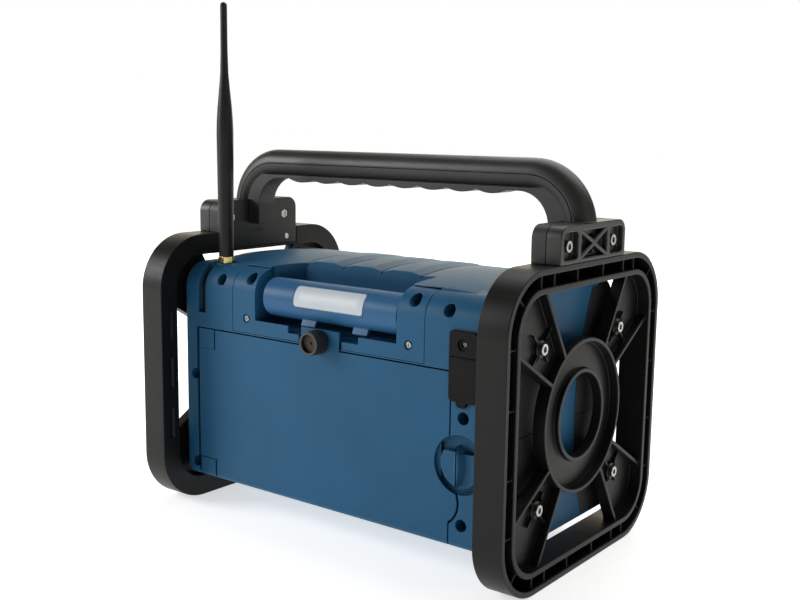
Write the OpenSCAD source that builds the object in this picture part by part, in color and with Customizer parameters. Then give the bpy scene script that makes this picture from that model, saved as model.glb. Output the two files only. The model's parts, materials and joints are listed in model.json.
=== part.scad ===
// Jobsite radio: a hollow housing slung between two moulded end frames, with a
// carrying handle over the top, a swivel work lamp and a battery door in the back.
// Origin on the ground under the middle of the end frames. +Z up, the front
// with the speakers faces -Y, the back with the battery door faces +Y.
// Left and right are named as seen from the back, so left is +X.

/* [Housing] */
// Width of the housing between its end faces
body_w = 328; // [310:2:350]
// Front face, measured forward from the middle of the end frames
body_front = 75.6; // [72:0.2:80]
// Rear face, measured back from the middle of the end frames
body_rear = 86.7; // [84:0.1:90]
// Height of the underside above the ground
body_lift = 24.7; // [22:0.1:28]
// Drop from the top of the end frames to the shoulders
shoulder_drop = 23.7; // [22.2:0.5:26.2]
// Radius of the shoulders along the top edges
shoulder_r = 21; // [16:1:24]
// Radius of the lower edges
base_r = 5; // [3:0.5:8]
// Wall thickness of the housing mouldings
wall = 3; // [2.5:0.1:4]
// Rise of the arched deck above the shoulders
crown_rise = 7.5; // [6:0.1:9]
// Radius of the arch of the deck, front to back
crown_r = 280; // [250:5:320]
// Middle of the arch, from the middle of the end frames
crown_y = 3; // [0:0.5:6]
// Spacing of the grooves that run over the deck
rib_pitch = 40; // [36:1:44]
// Swell of the deck between two grooves
rib_rise = 2.2; // [1:0.1:2.6]
// Width of the flat crest of a swell
crest_w = 19; // [14:1:24]
// Depth of the grooves between the swells
groove_d = 0.8; // [0.4:0.1:1.2]
// Depth of the front cover, front to back
cover_d = 25.6; // [22:0.2:30]
// How far the front cover stands above the shoulders
cover_rise = 3; // [2:0.2:4]

/* [End frames] */
// Depth of an end frame, front to back
frame_d = 236.4; // [230:0.2:246]
// Height of an end frame
frame_h = 237.2; // [235:0.2:246]
// Thickness of an end frame along the width of the radio
frame_t = 24.6; // [22:0.2:28]
// How far an end frame reaches over the end of the housing
frame_lap = 3.6; // [3:0.2:5]
// Outer corner radius of an end frame
frame_r = 46; // [40:1:52]
// Height of the rim section, from its outer to its inner edge
rim_h = 18; // [17:0.2:19]
// Thickness of the outer lip of the rim
outer_lip = 4.6; // [3.6:0.1:5]
// Width of the channel in the rim
channel_w = 9; // [7:0.2:9.4]
// Depth of the channel in the rim
channel_d = 17; // [12:0.5:18]
// Thickness of the cross ribs in the channel
channel_rib = 1.8; // [1.4:0.1:2.4]
// How far the spider lies behind the outer face
spider_set = 2.8; // [2:0.1:4]
// Thickness of the spider floor
spider_floor = 2.6; // [2:0.1:3.2]
// Depth of the trays in the arms
tray_d = 7.6; // [5:0.2:8.6]
// Half angle of an arm, seen from the ring
arm_half = 14; // [12:0.5:17]
// Thickness of the lips along the arms
arm_lip = 3; // [2.4:0.1:3.6]
// Outer radius of the ring
ring_r = 59.6; // [56:0.2:63]
// Radius of the hole through the ring
hole_r = 32.5; // [28:0.5:35]
// Thickness of the collar around the hole
collar_t = 3.4; // [2.6:0.1:4]
// How far the collar lies behind the outer face
collar_set = 5; // [4:0.1:6]
// Distance of the frame screws from the middle of the ring, both ways
screw_pitch = 59.6; // [56:0.2:62]

/* [Handle] */
// Rise of the handle above the end frames
handle_rise = 73.8; // [64:0.2:88]
// Radius of the handle bar
bar_r = 12.3; // [11:0.1:12.8]
// Radius of the middle line of the bends
bend_r = 39.7; // [34:0.1:44]
// Wall of the handle mouldings
bar_wall = 3.2; // [2.4:0.1:4]
// Length of a handle foot, front to back
foot_l = 101; // [92:1:108]
// Height of the top of a foot above the end frame
foot_h = 28; // [26:0.5:32]
// Corner radius of a foot
foot_r = 10; // [6:0.5:13]
// Number of finger lobes under the handle
lobe_n = 8; // [6:1:10]
// Length of one finger lobe
lobe_l = 28.3; // [24:0.1:30]
// Depth of the finger lobes
lobe_h = 3; // [2:0.1:4]
// Width of the keel under the bar
keel_w = 20; // [16:0.5:22]
// Depth of the keel where it meets the foot
keel_h = 10; // [7:0.5:12]
// Half distance between the two bolts of a foot
bolt_y = 34.5; // [30:0.5:37]
// Height of the bolts above the end frame
bolt_z = 12.5; // [11:0.1:14]

/* [Lamp] */
// Radius of the lamp tube
lamp_r = 16.2; // [14:0.1:16.6]
// Length of the lamp tube
lamp_l = 138.5; // [130:0.5:139]
// Middle of the lamp tube, across the width
lamp_x = 1.65; // [0:0.05:3]
// Drop from the shoulders to the lamp axis
lamp_drop = 22; // [20.5:0.5:23]
// Length of the lamp lens
lens_l = 72.6; // [60:0.2:84]
// Wall of the lamp tube
lamp_wall = 2.2; // [1.6:0.1:2.6]
// Radius of the lamp pivots
pivot_r = 4; // [3:0.1:5]
// Gap beyond the left end of the lamp, at the back of the recess
recess_gap = 9.2; // [6:0.2:12]
// Depth of the lamp recess behind the rear face
recess_d = 42.7; // [40:0.1:45]
// Drop from the shoulders to the floor of the lamp recess
recess_drop = 47.5; // [46.5:0.1:48.5]
// Drop from the shoulders to the lower edge of the bezel
bezel_drop = 53.7; // [52.5:0.1:54.1]
// Height of the bezel wall in front of the recess
bezel_lip = 5.8; // [4.5:0.1:6]
// Left side of the bezel
bezel_left = 106.7; // [100:0.1:110]
// Right side of the bezel
bezel_right = 94.3; // [90:0.1:98]
// Thickness of the bezel
bezel_t = 2.4; // [2:0.1:2.8]
// Left end of the notch in the bezel wall
notch_left = 42.8; // [36:0.2:48]
// Right end of the notch in the bezel wall
notch_right = 30.8; // [26:0.2:36]

/* [Battery door] */
// Left edge of the door
door_left = 148.6; // [146:0.1:149]
// Right edge of the door
door_right = 118; // [114:0.5:119]
// Drop from the shoulders to the top edge of the door
door_drop = 55.9; // [55.5:0.2:59.5]
// Thickness of the door
door_t = 3; // [2.6:0.1:3.4]
// Distance of the hinge axis from the left edge of the door
hinge_in = 5.6; // [5:0.1:6.4]
// Distance of the hinge axis from the rear face
hinge_deep = 6.2; // [5.8:0.1:6.8]
// Width of the hinge blocks
block_w = 13; // [11:0.2:15]
// Height of the hinge blocks
block_h = 17; // [14:0.5:20]
// Radius of the hinge pins
hinge_pin_r = 1.5; // [1.2:0.1:2]
// Width of the tab on top of the door
tab_w = 40; // [36:1:44]
// Height of the tab above the door
tab_h = 15.4; // [14:0.2:15.8]
// Middle of the tab and of its thumbscrew, across the width
tab_x = 8.5; // [6:0.5:11]
// Radius of the thumbscrew
thumb_r = 9.8; // [8:0.1:10.2]
// Length of the thumbscrew head
thumb_l = 13.5; // [11:0.5:15]
// Drop from the shoulders to the thumbscrew axis
thumb_drop = 50.1; // [49.5:0.1:50.9]
// Radius of the flutes around the thumbscrew
flute_r = 0.6; // [0.4:0.1:0.8]

/* [Latch] */
// Middle of the latch, from the middle of the radio
latch_x = 128; // [126:0.5:130]
// Height of the latch above the ground
latch_z = 89; // [80:0.5:96]
// Radius of the dished recess around the latch
dish_r = 22.5; // [21:0.5:24]
// Depth of the recess around the latch
dish_d = 5.5; // [4.5:0.1:6.5]
// Radius of the latch disc
disc_r = 17.5; // [15:0.5:19]
// Length of the grip on the latch
grip_l = 32; // [26:0.5:34]
// Width of the grip on the latch
grip_w = 11; // [8:0.5:13]

/* [Port cover] */
// Width of the rubber port cover
port_w = 24; // [22:0.5:26]
// Middle of the port cover, from the middle of the radio
port_x = 130; // [129:0.5:132]
// Drop from the shoulders to the top of the port cover
port_drop = 24.5; // [23.5:0.5:27.5]
// Height of the port cover
port_h = 52.4; // [51:0.2:55]
// Height of the part that stays fixed
port_fixed = 19; // [17:0.5:21]
// Thickness of the port cover
port_t = 2.6; // [2:0.1:3.2]

/* [Antenna] */
// Antenna axis, from the middle of the radio
antenna_x = 135; // [132:0.5:137]
// Antenna axis, back from the middle of the end frames
antenna_y = 66; // [64:0.5:67]
// Length of the antenna above the shoulders
antenna_l = 220.5; // [170:0.5:256]
// Radius of the antenna at its thick end
whip_r = 7.2; // [6:0.1:7.6]
// Radius of the antenna near its tip
tip_r = 2.9; // [2.4:0.1:4]
// Width across the flats of the antenna nut
nut_af = 12.5; // [11:0.5:14]
// Height of the antenna nut
nut_h = 5.6; // [4.5:0.1:7]

/* [Front] */
// Speaker axis, from the middle of the radio
speaker_x = 104; // [102:0.5:107]
// Height of the grilles above the underside
grille_lift = 9.3; // [7.3:0.5:12.3]
// Gap between the grilles and the control panel
grille_gap = 8; // [6:0.5:10]
// Width of the rim around the slotted field of a grille
grille_rim = 6; // [5:0.5:10]
// Spacing of the slots in a grille
slot_pitch = 6; // [5:0.25:8]
// How far the speaker lies inside the slotted field
speaker_in = 3; // [2:0.5:6]
// Width of the control panel
panel_w = 220; // [200:2:230]
// Drop from the shoulders to the top of the control panel
panel_drop = 15.5; // [14.5:0.5:19]
// Height of the control panel
panel_h = 56; // [53:0.5:60]
// Width of the display window
window_w = 76; // [60:1:84]
// Height of the display window
window_h = 34; // [28:1:38]
// Width of a button
button_w = 16; // [12:0.5:18]
// Height of a button
button_h = 11; // [8:0.5:13]
// Distance of the outer buttons from the end of the panel
button_edge = 22; // [18:0.5:24]
// Spacing of the buttons, across the width
button_pitch = 26; // [24:0.5:28]
// Spacing of the two button rows
row_pitch = 20; // [18:0.5:22]
// Travel of a button
button_travel = 1; // [0.6:0.1:1]
// Radius of the tuning knob
knob_r = 21; // [16:0.5:23]
// Length of the tuning knob
knob_l = 15; // [12:0.5:18]

/* [Batteries] */
// Radius of a battery cell
cell_r = 16.6; // [16:0.1:16.8]
// Length of a battery cell
cell_l = 61; // [58:0.5:61.5]
// Depth of the battery compartment
tray_depth = 37; // [36.6:0.1:38]
// Wall of the battery compartment
tray_wall = 2; // [1.6:0.1:2.2]

/* [Fasteners] */
// Head radius of the long housing screws
screw_head = 3.6; // [3:0.1:4]
// Shank radius of the long housing screws
screw_shank = 1.9; // [1.6:0.1:2.2]
// Head radius of the socket screws in the frames and the handle
cap_head = 4.3; // [3.6:0.1:4.6]
// Shank radius of the socket screws in the frames and the handle
cap_shank = 2.2; // [1.8:0.1:2.6]
// Radius of the deep screw wells in the rear face
well_r = 4.8; // [4.4:0.1:5]

/* [Hidden] */

$fn = 64;
fit = 0.3;                       // gap between parts that move past each other
run = 0.05;                      // running clearance of shafts and pins
over = 1;                        // overshoot of cuts

blue = "#2f5f8a";
dark = "#2b2b2c";
rubber = "#1e1e1e";
steel = "#c8c8c4";
brass = "#c9b25a";

body_x = body_w / 2;
face_x = body_x - frame_lap + frame_t;         // outer face of an end frame
frame_c = frame_h / 2;                         // height of the ring centre
rear_skin = body_rear - wall;                  // inner side of the rear wall
front_skin = -body_front + wall;               // inner side of the front wall
split_y = cover_d - body_front;                // parting plane of the two shells
mid_y = (body_rear - body_front) / 2;
shoulder_top = frame_h - shoulder_drop;
crown_top = shoulder_top + crown_rise;
crown_axis = crown_top - crown_r;
bar_z = frame_h + handle_rise - bar_r;
leg_x = face_x - bar_r;                        // middle of a handle leg
bend_x = leg_x - bend_r;
bend_z = bar_z - bend_r;
foot_x = leg_x - bar_r + 0.2;                  // inner face of a handle foot
keel_low = bar_z - bar_r - 0.6;                // underside of the keel between the lobes
bolt_h = frame_h + bolt_z;
pocket_d = 5;                                  // pockets in the outside of a foot
skirt_t = frame_lap - 0.4;
skirt_h = 15.7;                                // the skirt reaches down inside the frame
lamp_y = body_rear - lamp_r;
lamp_z = shoulder_top - lamp_drop;
recess_floor = shoulder_top - recess_drop;
bezel_z = shoulder_top - bezel_drop;
door_top = shoulder_top - door_drop;
thumb_z = shoulder_top - thumb_drop;
port_top = shoulder_top - port_drop;
port_low = port_top - port_h;
antenna_top = shoulder_top + antenna_l;
panel_top = shoulder_top - panel_drop;
panel_low = panel_top - panel_h;
grille_r = (panel_low - grille_gap - body_lift - grille_lift) / 2;
speaker_z = body_lift + grille_lift + grille_r;
field_r = grille_r - grille_rim;
speaker_r = field_r - speaker_in;
lens_x = lamp_x - 0.6;
hinge_x = door_left - hinge_in;
hinge_y = body_rear - hinge_deep;
swing_r = sqrt(hinge_in * hinge_in + hinge_deep * hinge_deep) + fit;
door_gap = 1;
door_low = body_lift + 0.4;
recess_left = lamp_x + lamp_l / 2 + recess_gap;
recess_right = lamp_l / 2 - lamp_x + 0.4;
sill_y = body_rear - 5.9;                      // front of the bezel sill
tray_left = hinge_x - block_w - 1.5;
tray_right = latch_x - dish_r - 3.5;
tray_low = body_lift + wall;
tray_high = door_top - 1.6;
tray_mouth = body_rear - door_t - fit - 1;     // rim of the tray, seal on top
tray_back = tray_mouth - tray_depth;
row_h = 2 * cell_r + tray_wall + 0.4;
rows = floor((tray_high - tray_low - tray_wall) / row_h);
row_z = [for (i = [0:rows - 1]) tray_low + 2 * tray_wall + cell_r + i * row_h];
cell_x = tray_left - tray_wall - 2.4 - cell_l; // joint between the two cells of a row
bay_x = cell_x - cell_l - 2.4;                 // cell side of the divider
board_y = -body_front + 18;                    // front of the main board
wells = [[-port_x, port_low - 12.1], [-port_x, body_lift + 18.6],
    [body_x - 10, door_top - 41.2], [body_x - 10, body_lift + 12.1],
    [49.4 - body_x, shoulder_top - 11.6], [antenna_x - 13.4, shoulder_top - 11.6],
    [bezel_left - 18.6, shoulder_top - 8], [12.2 - bezel_right, shoulder_top - 7.8]];
trim_screws = [[bezel_left - 16.5, recess_floor + 6.3], [14.8 - bezel_right, recess_floor + 6.3]];
panel_mid = (panel_low + panel_top) / 2;
knob_z = speaker_z;
nut_z = shoulder_top + fit;
nut_r = nut_af / 2 / cos(30);                  // nut over its corners
tongue_x = disc_r - latch_x + 1.2;             // free edge of the tongue on the door
flap_axis = port_top - port_fixed - port_t / 2;
switch_y = board_y - 3.5;

// ---- shared shapes ------------------------------------------------------

// Rectangle with round corners, centred
module round_rect(w, h, r) {
    square([w - 2 * r, h], center = true);
    square([w, h - 2 * r], center = true);
    for (sx = [-1, 1], sy = [-1, 1])
        translate([sx * (w / 2 - r), sy * (h / 2 - r)]) circle(r);
}

// Box from one corner to the other
module block(a, b) {
    translate(a) cube(b - a);
}

// Cylinder along Y from y0 to y1
module rod_y(x, z, r, y0, y1) {
    translate([x, y1, z]) rotate([90, 0, 0]) cylinder(r = r, h = y1 - y0);
}

// Cylinder along X from x0 to x1
module rod_x(y, z, r, x0, x1) {
    translate([x0, y, z]) rotate([0, 90, 0]) cylinder(r = r, h = x1 - x0);
}

// Lays a profile drawn in depth and height along the width
module along_x(x0, x1) {
    translate([x0, 0, 0]) rotate([90, 0, 90]) linear_extrude(x1 - x0) children();
}

// Lays a profile drawn in width and height front to back
module along_y(y0, y1) {
    translate([0, y1, 0]) rotate([90, 0, 0]) linear_extrude(y1 - y0) children();
}

// Round grip with flutes around it
module fluted(r, flute, n) {
    difference() {
        circle(r, $fn = 96);
        for (i = [0:n - 1]) rotate(i * 360 / n) translate([r + flute * 0.3, 0]) circle(flute, $fn = 24);
    }
}

// Repeats a part on both sides
module both_sides() {
    children();
    mirror([1, 0, 0]) children();
}

// ---- housing ------------------------------------------------------------

// Section of the housing, drawn in depth and height, set in by a distance
module body_section(set, top = shoulder_top) {
    low = body_lift + set;
    high = top - set;
    front = -body_front + set;
    rear = body_rear - set;
    r = shoulder_r - set;
    q = base_r;
    translate([front, low + q]) square([rear - front, high - low - q - r]);
    translate([front + q, low]) square([rear - front - 2 * q, q + 1]);
    translate([front + r, high - r - 1]) square([rear - front - 2 * r, r + 1]);
    for (y = [front + q, rear - q]) translate([y, low + q]) circle(q);
    for (y = [front + r, rear - r]) translate([y, high - r]) circle(r);
}

// Arched deck with its swells, turned about an axis under the radio
module crown() {
    half = 1.5 * rib_pitch;
    edge = 0.6;
    far_r = 400;
    far_mid = half + 32;
    step = (body_x - half - 10) / 12;
    swell = [for (i = [-1:1], p = [[edge - rib_pitch / 2, 0], [-crest_w / 2, rib_rise],
        [crest_w / 2, rib_rise], [rib_pitch / 2 - edge, 0], [rib_pitch / 2, -groove_d]])
            [crown_r + p[1], i * rib_pitch + p[0]]];
    far = [for (i = [0:12]) [half + 10 + i * step,
        crown_r + 1.28 - pow(half + 10 + i * step - far_mid, 2) / 2 / far_r]];
    intersection() {
        translate([0, crown_y, crown_axis]) rotate([0, 90, 0]) rotate_extrude($fn = 360)
            polygon(concat([[0, -body_x]], [for (i = [12:-1:0]) [far[i][1], -far[i][0]]],
                [[crown_r, -half - edge], [crown_r - groove_d, -half]], swell,
                [[crown_r, half + edge]], [for (p = far) [p[1], p[0]]], [[0, body_x]]));
        block([-body_x, split_y, shoulder_top - 12],
            [body_x, body_rear - shoulder_r + 1, crown_top + 10]);
    }
}

// Outer form of the rear housing
module rear_form() {
    intersection() {
        along_x(-body_x, body_x) body_section(0);
        block([-body_x, split_y, 0], [body_x, body_rear, frame_h]);
    }
    crown();
}

// Space inside the rear housing
module rear_space() {
    along_x(-body_x + wall, body_x - wall) body_section(wall);
    intersection() {
        translate([-body_x + 40, crown_y, crown_axis]) rotate([0, 90, 0])
            cylinder(r = crown_r - wall - 1, h = 2 * body_x - 80, $fn = 360);
        block([-body_x, split_y - over, shoulder_top - 20], [body_x, 50, crown_top]);
    }
}

// Plan of the lamp recess: slanted at its inner corners
module recess_plan(grow) {
    back = body_rear - recess_d - grow;
    cut = 19;
    polygon([[recess_left + grow, body_rear + 5], [recess_left + grow, back + cut],
        [recess_left - cut + grow / 2, back], [-recess_right - 6 - 1.5 * grow, back],
        [-recess_right - grow, back + cut + grow], [-recess_right - grow, body_rear + 5]]);
}

// Layer of the rear skin around the lamp recess, between two depths
module trim_layer(out, in, low, side) {
    intersection() {
        difference() {
            along_x(-bezel_right - side, bezel_left + side) body_section(out);
            along_x(-bezel_right - side - over, bezel_left + side + over) body_section(in);
        }
        block([-body_x, 66, low], [body_x, body_rear + 1, shoulder_top + 1]);
    }
}

// Notch in the bezel wall and the place of its sill
module notch() {
    block([-notch_right, 70, recess_floor], [notch_left, body_rear + 1, recess_floor + 20]);
}

// Opening for the battery door, with the free arc of its hinge edge
module door_opening() {
    x1 = hinge_x + swing_r;
    block([-door_right - door_gap, rear_skin - 0.6, 0], [x1, body_rear + 1, door_top + door_gap]);
    translate([hinge_x, hinge_y, 0]) cylinder(r = swing_r, h = door_top + door_gap);
    block([-tray_right - 1, tray_back - 1, tray_low], [tray_left + 1, body_rear, door_top]);
    block([tab_x - tab_w / 2 - door_gap, rear_skin - 0.6, door_top],
        [tab_x + tab_w / 2 + door_gap, body_rear + 1, recess_floor + 0.1]);
    // seat of the tongue
    block([tongue_x - 0.6, body_rear - door_t - 2.6, latch_z - 22.6],
        [-tray_right, body_rear - 1, latch_z + 22.6]);
}

// Finger bulge on the free edge of the door, drawn in width and height
module finger_bulge(grow) {
    intersection() {
        translate([-door_right + 10, latch_z - 30]) circle(18 + grow);
        translate([-door_right - 12, latch_z - 50]) square([20, 40]);
    }
}

// Hinge blocks at the lower and upper left corner of the door
module hinge_blocks(grow) {
    for (z = [door_low, door_top - block_h])
        block([hinge_x - block_w - 4 * grow, hinge_y - swing_r - 1, z - grow],
            [hinge_x + 5 + 8 * grow, body_rear + over * sign(grow), z + block_h + grow]);
}

// Pocket behind the port cover
module port_pocket() {
    block([-port_x - port_w / 2 + 3, body_rear - 8, port_low + 5],
        [-port_x + port_w / 2 - 3, body_rear + 1, port_top - port_fixed - 2]);
}

// Groove beside the antenna, which follows the shoulder
module side_groove(grow) {
    intersection() {
        difference() {
            along_x(antenna_x + 5 - grow, antenna_x + 14 + grow) body_section(grow > 0 ? 0 : -over);
            along_x(antenna_x, antenna_x + 20) body_section(4.5 + grow);
        }
        block([0, 71 - grow, bezel_z + 12 - grow], [body_x, body_rear + 2, shoulder_top + 2]);
    }
}

// Two pads on each end face, drawn in depth and height
module pad_profile(grow) {
    pad_r = 222;
    intersection() {
        body_section(2.5 - grow);
        for (s = [-1, 1])
            translate([mid_y + s * (pad_r + 24.2), frame_c - 5]) circle(pad_r + grow, $fn = 180);
    }
}

module pad_cut() {
    both_sides() along_x(body_x - 1, body_x + 1) pad_profile(0.15);
}

// Bosses for the frame screws in one shell
module frame_bosses(side, r, out) {
    both_sides() for (sz = [-1, 1])
        rod_x(side * screw_pitch, frame_c + sz * screw_pitch, r, body_x - 16, body_x + out);
}

module rear_shell() {
    color(blue) difference() {
        union() {
            difference() {
                rear_form();
                rear_space();
            }
            intersection() {
                rear_form();
                union() {
                    translate([0, 0, recess_floor - wall]) linear_extrude(80) recess_plan(wall);
                    trim_layer(0, 5, door_top + door_gap, 3);
                    for (w = wells) rod_y(w[0], w[1], well_r + 2, split_y, body_rear);
                    for (w = trim_screws)
                        block([w[0] - (w[0] > 0 ? 11 : 7), rear_skin - 12, recess_floor - wall],
                            [w[0] + (w[0] > 0 ? 7 : 11), rear_skin, w[1] + 6]);
                    block([-latch_x - dish_r - 3, body_rear - 12, latch_z - 54],
                        [-tray_right - 1, body_rear, latch_z + 28]);
                    block([-port_x - port_w / 2 + 1, body_rear - 11, port_low + 3],
                        [-port_x + port_w / 2 - 1, body_rear, port_top - port_fixed]);
                    rod_y(-port_x, port_top - 10, 5, rear_skin - 8, rear_skin + 1);
                    rod_y(tab_x, thumb_z, 7, sill_y - 12, sill_y);
                    translate([hinge_x, hinge_y, body_lift])
                        cylinder(r = swing_r + 2.8, h = door_top + wall - body_lift);
                    side_groove(2.8);
                    frame_bosses(1, cap_shank + 4, 0);
                }
            }
            translate([antenna_x, antenna_y, shoulder_top - 14]) cylinder(r = 8.8, h = 14);
        }
        translate([0, 0, recess_floor]) linear_extrude(80) recess_plan(0);
        trim_layer(-over, bezel_t, bezel_z, 0);
        notch();
        block([-notch_right, sill_y, bezel_z], [notch_left, body_rear + 1, recess_floor + 1]);
        difference() {
            door_opening();
            hinge_blocks(0);
        }
        along_y(body_rear - 4, body_rear + 1) finger_bulge(1.6);
        rod_y(-latch_x, latch_z, dish_r, body_rear - dish_d, body_rear + 1);
        rod_y(-latch_x, latch_z, 4 + run, body_rear - 20, body_rear);
        port_pocket();
        rod_y(-port_x, port_low + 25.4, 4.6, body_rear - 20, body_rear);
        rod_y(-port_x - 4.6, port_low + 12.4, 3.6, body_rear - 20, body_rear);
        block([-port_x + 1.6, body_rear - 20, port_low + 6.4], [-port_x + 7, body_rear, port_low + 19]);
        side_groove(0);
        rod_y(-port_x, port_top - 10, screw_shank, rear_skin - 9, body_rear + 1);
        for (w = wells) {
            rod_y(w[0], w[1], well_r, split_y + 8, body_rear + 3);
            rod_y(w[0], w[1], screw_shank + run, split_y - 1, split_y + 9);
        }
        for (w = trim_screws) rod_y(w[0], w[1], screw_shank, rear_skin - 10, rear_skin + 2);
        rod_y(tab_x, thumb_z, 3.2, sill_y - 9, sill_y + 1);
        for (z = [door_low, door_top - block_h])
            translate([hinge_x, hinge_y, z + 2]) cylinder(r = hinge_pin_r, h = block_h - 2 + over);
        for (z = [door_low, door_top - block_h])
            translate([hinge_x, hinge_y, z - 2]) cylinder(r = hinge_pin_r, h = block_h);
        translate([antenna_x, antenna_y, shoulder_top - 15]) cylinder(r = 4, h = 16);
        translate([antenna_x, antenna_y, shoulder_top]) cylinder(r = nut_r + 1, h = crown_rise + 5);
        rod_x(lamp_y, lamp_z, pivot_r, -recess_right - wall - 3, recess_left + wall + 3);
        frame_bosses(1, cap_shank + run, 2);
        pad_cut();
    }
}

module front_shell() {
    open_w = panel_w - 8;
    open_h = panel_top - panel_low - 8;
    top = shoulder_top + cover_rise;
    color(dark) difference() {
        intersection() {
            union() {
                difference() {
                    along_x(-body_x, body_x) body_section(0, top);
                    along_x(-body_x + wall, body_x - wall) body_section(wall, top);
                }
                for (w = wells) rod_y(w[0], w[1], 5, front_skin - 1, split_y);
                frame_bosses(-1, cap_shank + 4, 0);
            }
            along_x(-body_x, body_x) body_section(0, top);
            block([-body_x, -body_front, 0], [body_x, split_y, frame_h]);
        }
        for (s = [-1, 1]) {
            rod_y(s * speaker_x, speaker_z, grille_r + 0.15, -body_front - 1, -body_front + 1.5);
            rod_y(s * speaker_x, speaker_z, speaker_r - 3, -body_front - 1, front_skin + 1);
        }
        along_y(-body_front - 1, -body_front + 1.5)
            translate([0, panel_mid]) round_rect(panel_w + 0.3, panel_top - panel_low + 0.3, 8.15);
        along_y(-body_front - 1, front_skin + 1)
            translate([0, panel_mid]) round_rect(open_w, open_h, 5);
        rod_y(0, knob_z, 4, -body_front - 1, front_skin + 1);
        difference() {
            rod_y(0, knob_z, knob_r + 7, -body_front - 1, -body_front + 1);
            rod_y(0, knob_z, knob_r + 5, -body_front - 2, -body_front + 2);
        }
        for (w = wells) rod_y(w[0], w[1], screw_shank, split_y - 14, split_y + 1);
        frame_bosses(-1, cap_shank + run, 2);
        pad_cut();
    }
}

module end_pads() {
    color("#2c2e31") both_sides() difference() {
        along_x(body_x - 1, body_x) pad_profile(0);
        frame_bosses(1, cap_shank + 0.3, 2);
        frame_bosses(-1, cap_shank + 0.3, 2);
        block([0, -body_front, frame_c - 7.9], [body_x + 1, body_rear, frame_c - 7.3]);
    }
}

// ---- end frames ---------------------------------------------------------
// Drawn with depth and height in the plane and the thickness upwards, starting
// at the outer face.

module frame_outline(set) {
    round_rect(frame_d - 2 * set, frame_h - 2 * set, frame_r - set);
}

// Wedge of one arm, moved outwards to narrow it by a lip on both sides
module arm_wedge(lip) {
    far = 240;
    shift = lip / sin(arm_half);
    rotate(45) translate([shift, 0])
        polygon([[0, 0], [far, far * tan(arm_half)], [far, -far * tan(arm_half)]]);
}

// Four arms between the ring and the rim
module arm_plan(lip, in) {
    for (q = [0, 1], p = [0, 1]) mirror([q, 0]) mirror([0, p]) difference() {
        intersection() {
            arm_wedge(lip);
            frame_outline(in);
        }
        circle(ring_r - 1);
    }
}

module frame_body() {
    tray_z = spider_set + tray_d;
    back_z = tray_z + spider_floor;
    rim_in = rim_h - 1;
    boss = screw_pitch;
    difference() {
        union() {
            difference() {
                linear_extrude(frame_t) difference() {
                    frame_outline(0);
                    frame_outline(rim_h);
                }
                translate([0, 0, -over]) linear_extrude(channel_d + over) difference() {
                    frame_outline(outer_lip);
                    frame_outline(outer_lip + channel_w);
                }
            }
            // cross ribs in the channel
            intersection() {
                translate([0, 0, 2]) linear_extrude(channel_d) difference() {
                    frame_outline(outer_lip - 0.5);
                    frame_outline(outer_lip + channel_w + 0.5);
                }
                union() {
                    for (u = [20, 54, 72], s = [-1, 1])
                        translate([s * u - channel_rib / 2, -frame_h, 0])
                            cube([channel_rib, 2 * frame_h, frame_t]);
                    for (v = [24.5, 66.5], s = [-1, 1])
                        translate([-frame_d, s * v - channel_rib / 2, 0])
                            cube([2 * frame_d, channel_rib, frame_t]);
                    for (a = [45, 135]) rotate(a)
                        translate([-frame_d, -channel_rib / 2, 0])
                            cube([2 * frame_d, channel_rib, frame_t]);
                }
            }
            // arms with their lips and trays
            difference() {
                translate([0, 0, spider_set]) linear_extrude(back_z - spider_set)
                    arm_plan(0, rim_in);
                translate([0, 0, spider_set - over]) linear_extrude(tray_d + over)
                    arm_plan(arm_lip, rim_in - 3);
            }
            // ring with its dished floor and collar
            rotate_extrude($fn = 128) polygon([[hole_r, collar_set],
                [hole_r + collar_t, collar_set], [hole_r + collar_t, tray_z - 1.6],
                [ring_r - arm_lip, tray_z], [ring_r - arm_lip, spider_set],
                [ring_r, spider_set], [ring_r, back_z], [hole_r, back_z]]);
            // screw bosses with the ribs that divide the trays
            for (q = [0, 1], p = [0, 1]) mirror([q, 0, 0]) mirror([0, p, 0]) {
                translate([boss, boss, tray_z - 2.8])
                    cylinder(r = 7, h = frame_t - frame_lap - tray_z + 2.8);
                translate([boss, boss, tray_z - 0.5]) rotate(45) {
                    translate([-15, -0.9, -2.3]) cube([30, 1.8, 3]);
                    translate([-0.9, -19.5, -2.3]) cube([1.8, 39, 3]);
                }
            }
        }
        translate([0, 0, -over]) cylinder(r = hole_r, h = frame_t);
        for (sx = [-1, 1], sy = [-1, 1]) translate([sx * boss, sy * boss, -over])
            cylinder(r = cap_shank + run, h = frame_t + 2);
        // place of the handle skirt
        translate([-foot_l / 2 - 0.3, frame_c - skirt_h - 0.3, frame_t - frame_lap])
            cube([foot_l + 0.6, skirt_h + 1.3, frame_lap + 1]);
        for (s = [-1, 1]) translate([s * 37.5, frame_c - 9, frame_t - 9])
            cylinder(r = 1.5, h = 10);
    }
}

module end_frame_right() {
    color(dark) translate([-face_x, 0, frame_c]) rotate([90, 0, 90]) frame_body();
}

module end_frame_left() {
    color(dark) mirror([1, 0, 0]) translate([-face_x, 0, frame_c]) rotate([90, 0, 90])
        frame_body();
}

module frame_screws() {
    seat = face_x - spider_set - tray_d + 2.8;
    color(steel) both_sides() for (sy = [-1, 1], sz = [-1, 1]) {
        y = sy * screw_pitch;
        z = frame_c + sz * screw_pitch;
        rod_x(y, z, cap_shank, body_x - 5, seat + 0.5);
        difference() {
            rod_x(y, z, cap_head, seat, seat + 3);
            translate([seat + 1.4, y, z]) rotate([0, 90, 0]) cylinder(r = 2.4, h = 3, $fn = 6);
        }
    }
}

// ---- handle -------------------------------------------------------------

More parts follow.
